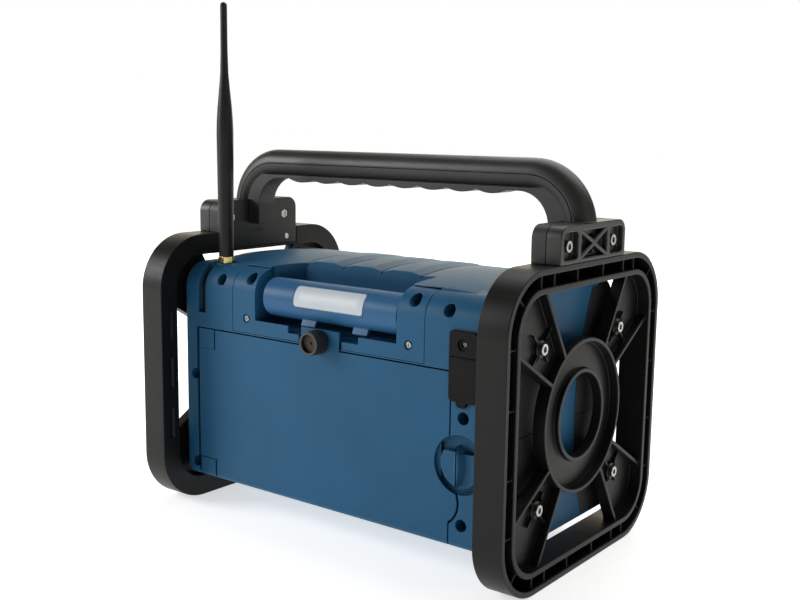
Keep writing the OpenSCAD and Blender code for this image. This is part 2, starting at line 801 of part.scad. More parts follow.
// Bar with its bends and legs
module bar_path(r, low) {
    rod_x(0, bar_z, r, -bend_x, bend_x);
    both_sides() {
        translate([leg_x, 0, low]) cylinder(r = r, h = bend_z - low);
        intersection() {
            translate([bend_x, 0, bend_z]) rotate([90, 0, 0])
                rotate_extrude() translate([bend_r, 0]) circle(r, $fn = 48);
            block([bend_x, -20, bend_z], [leg_x + 20, 20, bar_z + 20]);
        }
    }
}

// Hollow of the straight lengths, which leaves the bends solid
module bar_hollow() {
    rod_x(0, bar_z, bar_r - bar_wall, -bend_x + 3, bend_x - 3);
    both_sides() translate([leg_x, 0, frame_h + 5])
        cylinder(r = bar_r - bar_wall, h = bend_z - frame_h - 8);
}

// Everything on the inner side of the parting surface
module handle_core() {
    along_y(-foot_l, foot_l) {
        translate([-leg_x, 0]) square([2 * leg_x, bend_z]);
        translate([-bend_x, 0]) square([2 * bend_x, bar_z]);
        for (s = [-1, 1]) translate([s * bend_x, bend_z]) circle(bend_r, $fn = 128);
    }
}

// Foot drawn in depth and height
module foot_outline(set) {
    w = foot_l - 2 * set;
    h = foot_h - set;
    translate([0, frame_h]) {
        translate([-w / 2, 0]) square([w, h - foot_r]);
        translate([-w / 2 + foot_r, 0]) square([w - 2 * foot_r, h]);
        for (s = [-1, 1]) translate([s * (w / 2 - foot_r), h - foot_r]) circle(foot_r);
    }
}

// Pockets on the outside of a foot: one round each bolt, four between them
module foot_pockets() {
    low = frame_h + 3;
    high = frame_h + foot_h - 5;
    mid = (low + high) / 2;
    half = 20;
    for (s = [-1, 1]) translate([s * (bolt_y + 1), mid]) round_rect(21, high - low, 3);
    for (s = [-1, 1]) {
        polygon([[s * half, low + 2], [s * half, high - 2], [s * 3, mid]]);
        polygon([[-half + 3, mid + s * (high - low) / 2], [half - 3, mid + s * (high - low) / 2],
            [0, mid + s * 2]]);
    }
}

module handle_solid() {
    bar_path(bar_r, frame_h);
    both_sides() along_x(foot_x, face_x) foot_outline(0);
}

module handle_outer() {
    color("#4a4a47") difference() {
        handle_solid();
        handle_core();
        bar_hollow();
        both_sides() along_x(face_x - pocket_d, face_x + 1) foot_pockets();
        both_sides() for (s = [-1, 1])
            rod_x(s * bolt_y, bolt_h, cap_shank + run, leg_x - 1, face_x);
    }
}

// Web on the inner side of a bend, drawn in width and height
module keel_profile() {
    r = bend_r - bar_r - 1.4;
    kx = leg_x - bar_r - keel_h - r;
    kz = keel_low - r;
    start = min(lobe_n * lobe_l / 2, kx);
    difference() {
        translate([start, frame_h + 6]) square([leg_x - start, keel_low + 3 - frame_h - 6]);
        translate([kx, kz]) circle(r, $fn = 96);
        translate([start - 1, 0]) square([kx - start + 1, keel_low]);
        translate([kx - 1, 0]) square([r + 1, kz]);
    }
}

module handle_inner() {
    lobe_r = (lobe_l * lobe_l / 4 + lobe_h * lobe_h) / 2 / lobe_h;
    lobe_low = keel_low - lobe_h;
    color("#434342") difference() {
        union() {
            intersection() {
                union() {
                    handle_solid();
                    both_sides() along_y(-keel_w / 2, keel_w / 2) keel_profile();
                }
                handle_core();
            }
            for (i = [0:lobe_n - 1]) intersection() {
                x = (i - (lobe_n - 1) / 2) * lobe_l;
                rod_y(x, lobe_low + lobe_r, lobe_r, -keel_w / 2, keel_w / 2);
                block([x - lobe_l / 2, -keel_w / 2, lobe_low - 1],
                    [x + lobe_l / 2, keel_w / 2, lobe_low + lobe_h + 3]);
            }
            both_sides() block([foot_x, -foot_l / 2, frame_h - skirt_h],
                [foot_x + skirt_t, foot_l / 2, frame_h + 1]);
        }
        bar_hollow();
        both_sides() for (s = [-1, 1]) {
            rod_x(s * bolt_y, bolt_h, cap_shank + run, foot_x - 1, leg_x + 1);
            rod_x(s * bolt_y, bolt_h, cap_head + 0.2, foot_x - 1, foot_x + 3);
            rod_x(s * 37.5, frame_h - 9, 1.6, foot_x - 1, foot_x + skirt_t + 1);
            rod_x(s * 37.5, frame_h - 9, 3, foot_x - 1, foot_x + 1.4);
        }
    }
}

module handle_bolts() {
    seat = face_x - pocket_d;
    color(steel) both_sides() for (s = [-1, 1]) {
        rod_x(s * bolt_y, bolt_h, cap_shank, foot_x + 0.4, seat + 0.5);
        difference() {
            rod_x(s * bolt_y, bolt_h, cap_head, seat, seat + 3.2);
            translate([seat + 1.4, s * bolt_y, bolt_h]) rotate([0, 90, 0])
                cylinder(r = 2.4, h = 3, $fn = 6);
        }
    }
}

module handle_nuts() {
    color(steel) both_sides() for (s = [-1, 1]) difference() {
        translate([foot_x + 0.2, s * bolt_y, bolt_h]) rotate([0, 90, 0])
            cylinder(r = cap_head, h = 2.8, $fn = 6);
        rod_x(s * bolt_y, bolt_h, cap_shank, foot_x - 1, foot_x + 4);
    }
}

module skirt_screws() {
    color(steel) both_sides() for (s = [-1, 1]) {
        rod_x(s * 37.5, frame_h - 9, 1.5, foot_x + 1, foot_x + 8);
        rod_x(s * 37.5, frame_h - 9, 2.8, foot_x, foot_x + 1.4);
    }
}

// ---- lamp ---------------------------------------------------------------

// Sector of the lamp section that the lens fills, from +Y upwards
module lens_sector(in) {
    a0 = -12 + in;
    a1 = 57 - in;
    polygon([[0, 0], [40 * cos(a0), 40 * sin(a0)], [34, 20], [40 * cos(a1), 40 * sin(a1)]]);
}

module lamp_ring(r1, r0) {
    difference() {
        circle(r1, $fn = 128);
        circle(r0, $fn = 128);
    }
}

module lamp_tube() {
    x0 = lamp_x - lamp_l / 2;
    x1 = lamp_x + lamp_l / 2;
    hollow_r = lamp_r - 2 * lamp_wall;
    color("#456c95") difference() {
        union() {
            translate([0, lamp_y, lamp_z]) along_x(x0, x1) circle(lamp_r, $fn = 128);
            for (x = [18.5, -35.3]) translate([0, lamp_y, lamp_z]) rotate([-66, 0, 0])
                block([x, lamp_r - 3, -2.2], [x + 15.2, lamp_r + 5.6, 2.2]);
        }
        translate([0, lamp_y, lamp_z]) along_x(x0 + 5, x1 - 5) difference() {
            circle(hollow_r, $fn = 128);
            rotate(22.5) translate([-20, -7]) square([20 + 4, 14]);
        }
        translate([0, lamp_y, lamp_z]) along_x(lens_x - lens_l / 2, lens_x + lens_l / 2)
            intersection() {
                lens_sector(0);
                lamp_ring(lamp_r + 2, lamp_r - lamp_wall);
            }
        translate([0, lamp_y, lamp_z]) along_x(lens_x - lens_l / 2 + 2, lens_x + lens_l / 2 - 2)
            intersection() {
                lens_sector(7);
                lamp_ring(lamp_r, hollow_r - 1);
            }
        rod_x(lamp_y, lamp_z, pivot_r + run, x0 - 1, x0 + 4);
        rod_x(lamp_y, lamp_z, pivot_r + run, x1 - 4, x1 + 1);
    }
}

module lamp_lens() {
    color("#d4dae0") translate([0, lamp_y, lamp_z])
        along_x(lens_x - lens_l / 2 + 0.2, lens_x + lens_l / 2 - 0.2) intersection() {
            lens_sector(0.7);
            lamp_ring(lamp_r, lamp_r - lamp_wall);
        }
}

module led_strip() {
    n = 9;
    color("#e8e6dc") translate([0, lamp_y, lamp_z]) rotate([22.5, 0, 0]) {
        block([lens_x - 33, 4, -6], [lens_x + 33, 5.6, 6]);
        for (i = [0:n - 1])
            translate([lens_x + (i - (n - 1) / 2) * 7.2, 5.6, 0])
                rotate([-90, 0, 0]) cylinder(r = 2, h = 1.4, $fn = 24);
    }
}

module lamp_pivots() {
    x0 = lamp_x - lamp_l / 2;
    x1 = lamp_x + lamp_l / 2;
    color(steel) {
        rod_x(lamp_y, lamp_z, pivot_r, -recess_right - wall, x0 + 3.6);
        rod_x(lamp_y, lamp_z, pivot_r, x1 - 3.6, recess_left + wall);
    }
}

module lamp_bezel() {
    color(blue) difference() {
        union() {
            difference() {
                trim_layer(0, bezel_t, bezel_z + 0.2, -0.2);
                translate([0, 0, recess_floor + bezel_lip]) linear_extrude(80) recess_plan(0);
                notch();
            }
            block([-notch_right + 0.1, sill_y, bezel_z + 0.2],
                [notch_left - 0.1, body_rear, recess_floor]);
        }
        block([tab_x - tab_w / 2 - 2.5, rear_skin - 0.6, bezel_z - 1],
            [tab_x + tab_w / 2 + 2.5, body_rear + 1, recess_floor + 1]);
        for (w = trim_screws) {
            rod_y(w[0], w[1], screw_shank + run, rear_skin - 1, body_rear + 1);
            rod_y(w[0], w[1], 4, body_rear - 1.2, body_rear + 1);
        }
        for (w = wells) rod_y(w[0], w[1], well_r, 60, body_rear + 1);
        rod_y(tab_x, thumb_z, 3.2, sill_y - 1, body_rear);
    }
}

module bezel_screws() {
    color(steel) for (w = trim_screws) {
        rod_y(w[0], w[1], screw_shank, rear_skin - 8, body_rear - 1);
        difference() {
            rod_y(w[0], w[1], 3.4, body_rear - 1.2, body_rear + 0.6);
            for (a = [0, 90]) translate([w[0], body_rear, w[1]]) rotate([0, a, 0])
                cube([4, 2, 0.9], center = true);
        }
    }
}

// ---- battery door -------------------------------------------------------

module battery_door() {
    y0 = body_rear - door_t;
    x1 = door_left;
    low = door_low + block_h + fit + 0.1;
    high = door_top - block_h - fit - 0.1;
    dish = dish_r + 0.4;
    color(blue) difference() {
        union() {
            difference() {
                intersection() {
                    along_x(-door_right - 12, x1) body_section(0);
                    union() {
                        along_y(y0, body_rear) {
                            translate([-door_right, door_low])
                                square([x1 + door_right, door_top - door_low - 8]);
                            translate([-door_right, door_top - 9])
                                square([x1 + door_right - 8, 9]);
                            translate([x1 - 8, door_top - 8]) circle(8);
                            finger_bulge(0);
                        }
                        block([tab_x - tab_w / 2, y0, door_top - 1],
                            [tab_x + tab_w / 2, body_rear, door_top + tab_h]);
                    }
                }
                rod_y(-latch_x, latch_z, dish, y0 - 1, body_rear + 1);
            }
            // tongue on the free edge
            difference() {
                block([tongue_x, y0 - 2, latch_z - 22], [dish + 3 - latch_x, y0 + 0.5, latch_z + 22]);
                rod_y(-latch_x, latch_z, dish + 0.3, y0, y0 + 1);
            }
            // stiffening ribs that drop into the tray
            for (z = [tray_low + 12, tray_high - 14])
                block([-tray_right + 4, y0 - 1, z], [tray_left - 4, y0 + 0.5, z + 2]);
            for (x = [-tray_right + 6, -46, tab_x, 60, tray_left - 16.5])
                block([x, y0 - 1, tray_low + 12], [x + 2, y0 + 0.5, tray_high - 12]);
            translate([hinge_x, hinge_y, low]) cylinder(r = 5, h = high - low);
            block([hinge_x - 5, hinge_y, low], [hinge_x + 5, y0 + 0.5, high]);
        }
        hinge_blocks(fit + 0.1);
        translate([hinge_x, hinge_y, low - 1])
            cylinder(r = hinge_pin_r + run, h = high - low + 2);
        rod_y(tab_x, thumb_z, 2.5 + run, y0 - 1, body_rear + 1);
    }
}

module door_hinge_pins() {
    z0 = door_low + 2;
    z1 = door_top - 2;
    color(steel) translate([hinge_x, hinge_y, 0]) {
        translate([0, 0, z0]) cylinder(r = hinge_pin_r, h = block_h + 6);
        translate([0, 0, z1 - block_h - 6]) cylinder(r = hinge_pin_r, h = block_h + 6);
    }
}

module door_seal() {
    color(rubber) difference() {
        block([-tray_right, tray_mouth, tray_low + 2], [tray_left, tray_mouth + 1, tray_high]);
        block([-tray_right + 1.6, tray_mouth - 1, tray_low + 3.6],
            [tray_left - 1.6, tray_mouth + 2, tray_high - 1.6]);
    }
}

module door_thumbscrew() {
    y0 = body_rear + fit;
    color("#131314") difference() {
        union() {
            rod_y(tab_x, thumb_z, thumb_r - 0.6, y0, y0 + thumb_l);
            along_y(y0 + 1.2, y0 + thumb_l - 1) translate([tab_x, thumb_z])
                fluted(thumb_r, flute_r, 30);
            rod_y(tab_x, thumb_z, 2.5, sill_y - 1.8, y0 + 1);
        }
        rod_y(tab_x, thumb_z, thumb_r - 2.4, y0 + 4, y0 + thumb_l + 1);
    }
}

module door_latch() {
    y0 = body_rear - door_t + fit;
    grip_r = (grip_l * grip_l / 4 + grip_w * grip_w / 4) / grip_w;
    color(blue) {
        difference() {
            rod_y(-latch_x, latch_z, disc_r, y0, y0 + 2.5);
            block([-latch_x - 30, y0 - 1, latch_z + 9.4], [-latch_x + 30, y0 + 4, latch_z + 30]);
        }
        intersection() {
            rod_y(-latch_x - grip_r + grip_w / 2, latch_z, grip_r, y0, y0 + 8);
            rod_y(-latch_x + grip_r - grip_w / 2, latch_z, grip_r, y0, y0 + 8);
        }
        rod_y(-latch_x, latch_z, 4, body_rear - 14.5, y0 + 1);
        rod_y(-latch_x, latch_z, 7, body_rear - dish_d + fit, y0 + 1);
    }
}

// ---- batteries ----------------------------------------------------------

module battery_tray() {
    w = tray_wall;
    color(dark) difference() {
        block([-tray_right, tray_back, tray_low], [tray_left, tray_mouth, tray_high]);
        for (z = row_z)
            block([bay_x, tray_back + w, z == row_z[0] ? tray_low + w : z - cell_r - 0.2],
                [tray_left - w, tray_mouth + 1, z + cell_r + 0.2]);
        block([bay_x, tray_back + w, row_z[rows - 1] + cell_r + 0.2 + w],
            [tray_left - w, tray_mouth + 1, tray_high - w]);
        block([-tray_right + w, tray_back + w, tray_low + w],
            [bay_x - w, tray_mouth + 1, tray_high - w]);
    }
}

module battery_cells() {
    y = tray_back + tray_wall + cell_r;
    color("#8f9398") for (z = row_z) {
        rod_x(y, z, cell_r, cell_x + 0.2, cell_x + cell_l - 1.4);
        rod_x(y, z, 4.5, cell_x + cell_l - 2, cell_x + cell_l);
        rod_x(y, z, cell_r, cell_x - cell_l + 0.2, cell_x - 1.4);
        rod_x(y, z, 4.5, cell_x - 2, cell_x + 0.1);
    }
}

module battery_contacts() {
    y = tray_back + tray_wall + cell_r;
    color(steel) for (z = row_z) {
        block([tray_left - tray_wall - 0.6, y - 7, z - 9], [tray_left - tray_wall, y + 7, z + 9]);
        rod_x(y, z, 4, cell_x + cell_l, tray_left - tray_wall);
        block([bay_x, y - 7, z - 9], [bay_x + 0.6, y + 7, z + 9]);
        rod_x(y, z, 5, bay_x, cell_x - cell_l + 0.2);
    }
}

// ---- ports --------------------------------------------------------------

module port_outline(low, high) {
    translate([-port_x, (low + high) / 2]) round_rect(port_w, high - low, 3);
}

module port_cover_strap() {
    z0 = port_top - port_fixed + 0.3;
    color(rubber) difference() {
        along_y(body_rear, body_rear + port_t) difference() {
            port_outline(z0 - 8, port_top);
            translate([-port_x - 20, z0 - 20]) square([40, 20]);
        }
        rod_y(-port_x, port_top - 10, screw_shank + run, body_rear - 1, body_rear + 9);
        rod_y(-port_x, port_top - 10, 4.4, body_rear + 1.2, body_rear + 9);
    }
}

module port_cover_flap() {
    color(rubber) {
        intersection() {
            along_y(body_rear - 1, body_rear + port_t + 1) port_outline(port_low, port_top);
            along_x(-port_x - 20, 20 - port_x) {
                translate([body_rear, port_low - 1]) square([port_t, flap_axis - port_low + 1]);
                translate([body_rear + port_t / 2, flap_axis]) circle(port_t / 2);
            }
        }
        along_y(body_rear, body_rear + port_t)
            translate([-port_x + 1, port_low]) round_rect(9, 8, 3);
    }
}

module port_cover_screw() {
    y0 = body_rear + 1.2;
    color(steel) {
        rod_y(-port_x, port_top - 10, screw_shank, rear_skin - 6, y0 + 0.2);
        difference() {
            rod_y(-port_x, port_top - 10, 3.9, y0, y0 + 1.8);
            for (a = [0, 90]) translate([-port_x, y0 + 1.8, port_top - 10]) rotate([0, a, 0])
                cube([4.6, 2, 0.9], center = true);
        }
    }
}

module power_inlet() {
    z = port_low + 25.4;
    color("#0f0f10") difference() {
        rod_y(-port_x, z, 4.6, body_rear - 20, body_rear - 7.4);
        rod_y(-port_x, z, 3.2, body_rear - 17, body_rear - 7);
    }
    color(steel) rod_y(-port_x, z, 1.1, body_rear - 17.5, body_rear - 8.6);
}

module audio_socket() {
    color("#0f0f10") difference() {
        rod_y(-port_x - 4.6, port_low + 12.4, 3.6, body_rear - 20, body_rear - 7.4);
        rod_y(-port_x - 4.6, port_low + 12.4, 1.8, body_rear - 18, body_rear - 7);
    }
}

module usb_socket() {
    z0 = port_low + 6.4;
    color(steel) difference() {
        block([-port_x + 1.6, body_rear - 20, z0], [-port_x + 7, body_rear - 7.4, z0 + 12.6]);
        block([-port_x + 2.1, body_rear - 18, z0 + 0.5], [-port_x + 6.5, body_rear - 7, z0 + 12.1]);
    }
    color("#0f0f10") block([-port_x + 2.6, body_rear - 18.5, z0 + 1.2],
        [-port_x + 4, body_rear - 8.4, z0 + 11.4]);
}

module housing_screws() {
    color(steel) for (w = wells) {
        rod_y(w[0], w[1], screw_shank, split_y - 10, split_y + 8.5);
        difference() {
            rod_y(w[0], w[1], screw_head, split_y + 8, split_y + 10.5);
            for (a = [0, 90]) translate([w[0], split_y + 10.5, w[1]]) rotate([0, a, 0])
                cube([4.4, 2.4, 0.9], center = true);
        }
    }
}

// ---- antenna ------------------------------------------------------------

module antenna_socket() {
    color(brass) translate([antenna_x, antenna_y, shoulder_top - 14]) {
        cylinder(r = 4, h = 14);
        cylinder(r = 2.6, h = 22);
    }
}

module antenna_nut() {
    color(brass) translate([antenna_x, antenna_y, nut_z]) difference() {
        cylinder(r = nut_r, h = nut_h, $fn = 6);
        translate([0, 0, -1]) cylinder(r = 4, h = nut_h + 2);
    }
}

module antenna_whip() {
    z1 = nut_z + nut_h;
    waist = antenna_top - 59;
    color("#2e2d30") translate([antenna_x, antenna_y, 0]) difference() {
        union() {
            translate([0, 0, nut_z + 0.4]) cylinder(r = 4, h = nut_h);
            translate([0, 0, z1]) cylinder(r = whip_r - 0.8, h = 3);
            rotate_extrude() polygon([[0, z1 + 2], [whip_r - 0.8, z1 + 2], [whip_r - 0.4, z1 + 50],
                [whip_r, z1 + 106], [whip_r - 0.3, z1 + 116], [whip_r - 1.1, z1 + 128],
                [whip_r - 2.4, z1 + 141], [tip_r + 0.6, waist], [tip_r + 0.1, waist + 20],
                [tip_r, waist + 44], [tip_r, antenna_top - tip_r], [0, antenna_top - tip_r]]);
            translate([0, 0, antenna_top - tip_r]) sphere(tip_r);
        }
        translate([0, 0, nut_z]) cylinder(r = 2.6 + run, h = 10);
    }
}

// ---- front --------------------------------------------------------------

module speaker_grille(side) {
    y0 = -body_front + 1.5;
    n = floor(field_r / slot_pitch);
    color(dark) translate([side * speaker_x, y0, speaker_z]) rotate([90, 0, 0]) {
        linear_extrude(2.5) difference() {
            circle(grille_r, $fn = 128);
            intersection() {
                circle(field_r, $fn = 128);
                for (i = [-n:n]) translate([0, i * slot_pitch])
                    square([2 * field_r, slot_pitch * 0.45], center = true);
            }
        }
        translate([0, 0, 1]) rotate_extrude($fn = 128)
            polygon([[field_r + 0.5, 1], [grille_r - 1, 1], [grille_r - 1.5, 3], [field_r + 2, 3]]);
        for (x = [-22, 0, 22]) translate([x - 1, -field_r + 4, 0]) cube([2, 2 * field_r - 8, 2.5]);
    }
}

module speaker_grille_left() {
    speaker_grille(1);
}

module speaker_grille_right() {
    speaker_grille(-1);
}

module speaker_cone(side) {
    r = speaker_r;
    color("#1a1a1c") translate([side * speaker_x, front_skin, speaker_z]) rotate([-90, 0, 0])
        rotate_extrude($fn = 96) polygon([[0, 9.2], [7, 10], [10.4, 12.6], [r - 9, 2.4],
            [r - 7, 0.8], [r - 4.5, 0.8], [r - 3.2, 2.6], [r - 3.2, 3.4], [r - 5, 3.4],
            [r - 8.6, 3.4], [11, 14], [9.5, 14], [6.6, 11.2], [0, 10.4]]);
}

module speaker_cone_left() {
    speaker_cone(1);
}

module speaker_cone_right() {
    speaker_cone(-1);
}

module speaker_frame(side) {
    r = speaker_r;
    color("#3a3b3d") translate([side * speaker_x, front_skin, speaker_z]) rotate([-90, 0, 0])
        rotate_extrude($fn = 96) polygon([[r, 0], [r, 5], [r - 4, 6.4], [22, 18], [26, 18],
            [26, 34], [0, 34], [0, 16], [8, 16], [14, 15.4], [r - 6, 4.6], [r - 3.2, 3.4],
            [r - 3.2, 0]]);
}

module speaker_frame_left() {
    speaker_frame(1);
}

module speaker_frame_right() {
    speaker_frame(-1);
}

// Distance of the inner and the outer buttons from the middle
function button_x(i) = panel_w / 2 - button_edge - (1 - i) * button_pitch;

// Places of the eight buttons, drawn in width and height
module button_place(i, j, s) {
    translate([s * button_x(i), panel_mid + (j - 0.5) * row_pitch]) children();
}

module control_panel() {
    y0 = -body_front + 1.5;
    color("#1d1e20") difference() {
        union() {
            along_y(y0 - 3, y0) translate([0, panel_mid])
                round_rect(panel_w, panel_top - panel_low, 8);
            for (x = [-1, 1], z = [-1, 1])
                rod_y(x * (panel_w / 2 - 10), panel_mid + z * 19, 3, y0 - 1, board_y);
        }
        along_y(y0 - 4, y0 - 1) translate([0, panel_mid]) round_rect(window_w, window_h, 3);
        along_y(y0 - 4, y0 + 1) translate([0, panel_mid])
            round_rect(window_w - 4, window_h - 4, 2);
        along_y(y0 - 4, y0 + 1) for (s = [-1, 1], i = [0, 1], j = [0, 1])
            button_place(i, j, s) round_rect(button_w + 2 * fit, button_h + 2 * fit, 3);
        for (x = [-1, 1], z = [-1, 1])
            rod_y(x * (panel_w / 2 - 10), panel_mid + z * 19, 1.1, board_y - 8, board_y + 1);
    }
}

module display_window() {
    y0 = -body_front + 1.5;
    color("#39424a") along_y(y0 - 3, y0 - 1) translate([0, panel_mid])
        round_rect(window_w - 0.3, window_h - 0.3, 2.85);
}

module display_module() {
    w = window_w / 2 - 3;
    h = window_h / 2 - 3;
    color("#5f6b5c") block([-w, -body_front + 1.6, panel_mid - h], [w, board_y, panel_mid + h]);
}

module main_board() {
    color("#1f4a33") block([-panel_w / 2 + 6, board_y, panel_mid - 22.5],
        [panel_w / 2 - 6, board_y + 1.6, panel_mid + 22.5]);
    color("#202020") for (s = [-1, 1], i = [0, 1], j = [0, 1])
        translate([s * button_x(i), switch_y, panel_mid + (j - 0.5) * row_pitch])
            translate([-3, 0, -3]) cube([6, board_y - switch_y + 0.5, 6]);
}

module button(i, j, s) {
    y0 = -body_front - 1.5;
    color("#3a3c40") {
        along_y(y0 - 1.6, front_skin - 0.8) button_place(i, j, s)
            round_rect(button_w, button_h, 3 - fit);
        along_y(-body_front + 1.5 + fit, front_skin) button_place(i, j, s)
            square([button_w + 2, button_h + 2], center = true);
        along_y(front_skin - 0.5, switch_y - button_travel - fit) button_place(i, j, s) circle(2);
    }
}

module power_button() {
    button(0, 1, 1);
}

module mode_button() {
    button(1, 1, 1);
}

module menu_button() {
    button(0, 0, 1);
}

module lamp_button() {
    button(1, 0, 1);
}

module preset_button_1() {
    button(1, 1, -1);
}

module preset_button_2() {
    button(0, 1, -1);
}

module preset_button_3() {
    button(1, 0, -1);
}

module preset_button_4() {
    button(0, 0, -1);
}

module tuning_knob() {
    y1 = -body_front - 0.5;
    color("#232426") difference() {
        union() {
            rod_y(0, knob_z, knob_r, y1 - 3, y1);
            along_y(y1 - knob_l, y1 - 2) translate([0, knob_z]) fluted(knob_r - 1.6, 0.9, 36);
            rod_y(0, knob_z, 3, y1 - 2, front_skin + 6);
        }
        rod_y(0, knob_z + knob_r - 9, 4, y1 - knob_l - 1, y1 - knob_l + 1.2);
    }
}

module tuning_encoder() {
    color("#8a8c8f") difference() {
        block([-7, front_skin, knob_z - 7], [7, front_skin + 8, knob_z + 7]);
        rod_y(0, knob_z, 3 + run, front_skin - 1, front_skin + 6.5);
    }
}

rear_shell();
front_shell();
end_pads();
end_frame_left();
end_frame_right();
frame_screws();
handle_outer();
handle_inner();
handle_bolts();
handle_nuts();
skirt_screws();
lamp_bezel();
bezel_screws();
lamp_tube();
lamp_lens();
led_strip();
lamp_pivots();
battery_door();
door_hinge_pins();
door_seal();
door_thumbscrew();
door_latch();
battery_tray();
battery_cells();
battery_contacts();
port_cover_strap();
port_cover_flap();
port_cover_screw();
power_inlet();
audio_socket();
usb_socket();
housing_screws();
antenna_socket();
antenna_nut();
antenna_whip();
speaker_grille_left();
speaker_grille_right();
speaker_cone_left();
speaker_cone_right();
speaker_frame_left();
speaker_frame_right();
control_panel();
display_window();
display_module();
main_board();
power_button();
mode_button();
menu_button();
lamp_button();
preset_button_1();
preset_button_2();
preset_button_3();
preset_button_4();
tuning_knob();
tuning_encoder();
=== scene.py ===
import json
from math import cos, pi, radians, sin

import bmesh
import bpy
from mathutils import Matrix, Vector


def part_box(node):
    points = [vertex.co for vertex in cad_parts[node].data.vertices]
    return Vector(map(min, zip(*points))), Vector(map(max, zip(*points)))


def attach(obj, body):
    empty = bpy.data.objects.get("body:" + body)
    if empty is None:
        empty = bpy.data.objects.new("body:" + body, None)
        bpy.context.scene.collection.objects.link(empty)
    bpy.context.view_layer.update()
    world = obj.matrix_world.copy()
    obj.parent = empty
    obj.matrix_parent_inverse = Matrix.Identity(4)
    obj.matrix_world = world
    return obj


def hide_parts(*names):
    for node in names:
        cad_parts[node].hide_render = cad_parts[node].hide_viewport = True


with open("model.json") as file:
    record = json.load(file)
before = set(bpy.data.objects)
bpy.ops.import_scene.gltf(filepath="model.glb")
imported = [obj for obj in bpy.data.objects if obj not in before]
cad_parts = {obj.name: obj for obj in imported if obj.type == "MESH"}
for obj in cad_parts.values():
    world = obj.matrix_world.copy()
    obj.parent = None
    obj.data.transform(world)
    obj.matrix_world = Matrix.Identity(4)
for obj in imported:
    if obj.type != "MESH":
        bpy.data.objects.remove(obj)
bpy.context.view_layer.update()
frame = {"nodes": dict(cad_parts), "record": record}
record = frame["record"]
bodyOf = {node: body for body, nodes in record["behaviour"]["bodies"].items() for node in nodes}
slotOf = {part["node"]: part["material_slot"] for part in record["subparts"]}
mm = 0.001

print("frame loaded:", len(frame["nodes"]), "nodes")


# small helpers

def linear(hexColour):
    # sRGB hex to the linear colour that the shader wants
    parts = [int(hexColour[i:i + 2], 16) / 255 for i in (1, 3, 5)]
    return [c / 12.92 if c <= 0.04045 else ((c + 0.055) / 1.055) ** 2.4 for c in parts] + [1.0]


def addNode(tree, kind, settings=None, links=None):
    # one node with its settings (attributes or inputs) and its incoming links
    node = tree.nodes.new(kind)
    for key, value in (settings or {}).items():
        if isinstance(key, str) and hasattr(node, key):
            setattr(node, key, value)
        else:
            node.inputs[key].default_value = value
    for key, socket in (links or {}).items():
        tree.links.new(socket, node.inputs[key])
    return node


def perMetre(sizeMm):
    # pattern scale for features of a real size in millimetres
    return 1000.0 / sizeMm


def linked(name, data):
    # a new object at the origin that holds the data
    obj = bpy.data.objects.new(name, data)
    bpy.context.scene.collection.objects.link(obj)
    return obj


def meshFrom(name, work):
    # a new mesh from the bmesh, which is freed
    mesh = bpy.data.meshes.new(name)
    work.to_mesh(mesh)
    work.free()
    return mesh


def applied(obj):
    # the object's mesh with its modifiers taken in
    bpy.context.view_layer.update()
    ready = bpy.data.meshes.new_from_object(obj.evaluated_get(bpy.context.evaluated_depsgraph_get()))
    obj.modifiers.clear()
    obj.data = ready
    return ready


def cutBy(obj, cutters, selfCrossing=False):
    # the object's mesh less the cutters, which are then removed
    for cutter in cutters:
        bite = obj.modifiers.new("bite", "BOOLEAN")
        bite.operation = "DIFFERENCE"
        bite.solver = "EXACT"
        bite.use_self = selfCrossing
        bite.object = cutter
    mesh = applied(obj)
    for cutter in cutters:
        bpy.data.objects.remove(cutter)
    return mesh


# materials

# nook and nookMm: how dark the painted shade in nooks goes, and how far it reaches
usualLook = {"wearMm": 0.8, "wear": 0.35, "nookMm": 6, "nook": 0.3, "scuffMm": 30, "scuff": 0.08,
             "metal": 0.0, "ior": 1.5, "spec": 0.5, "coat": 0.0}  # what a finish has unless it says otherwise


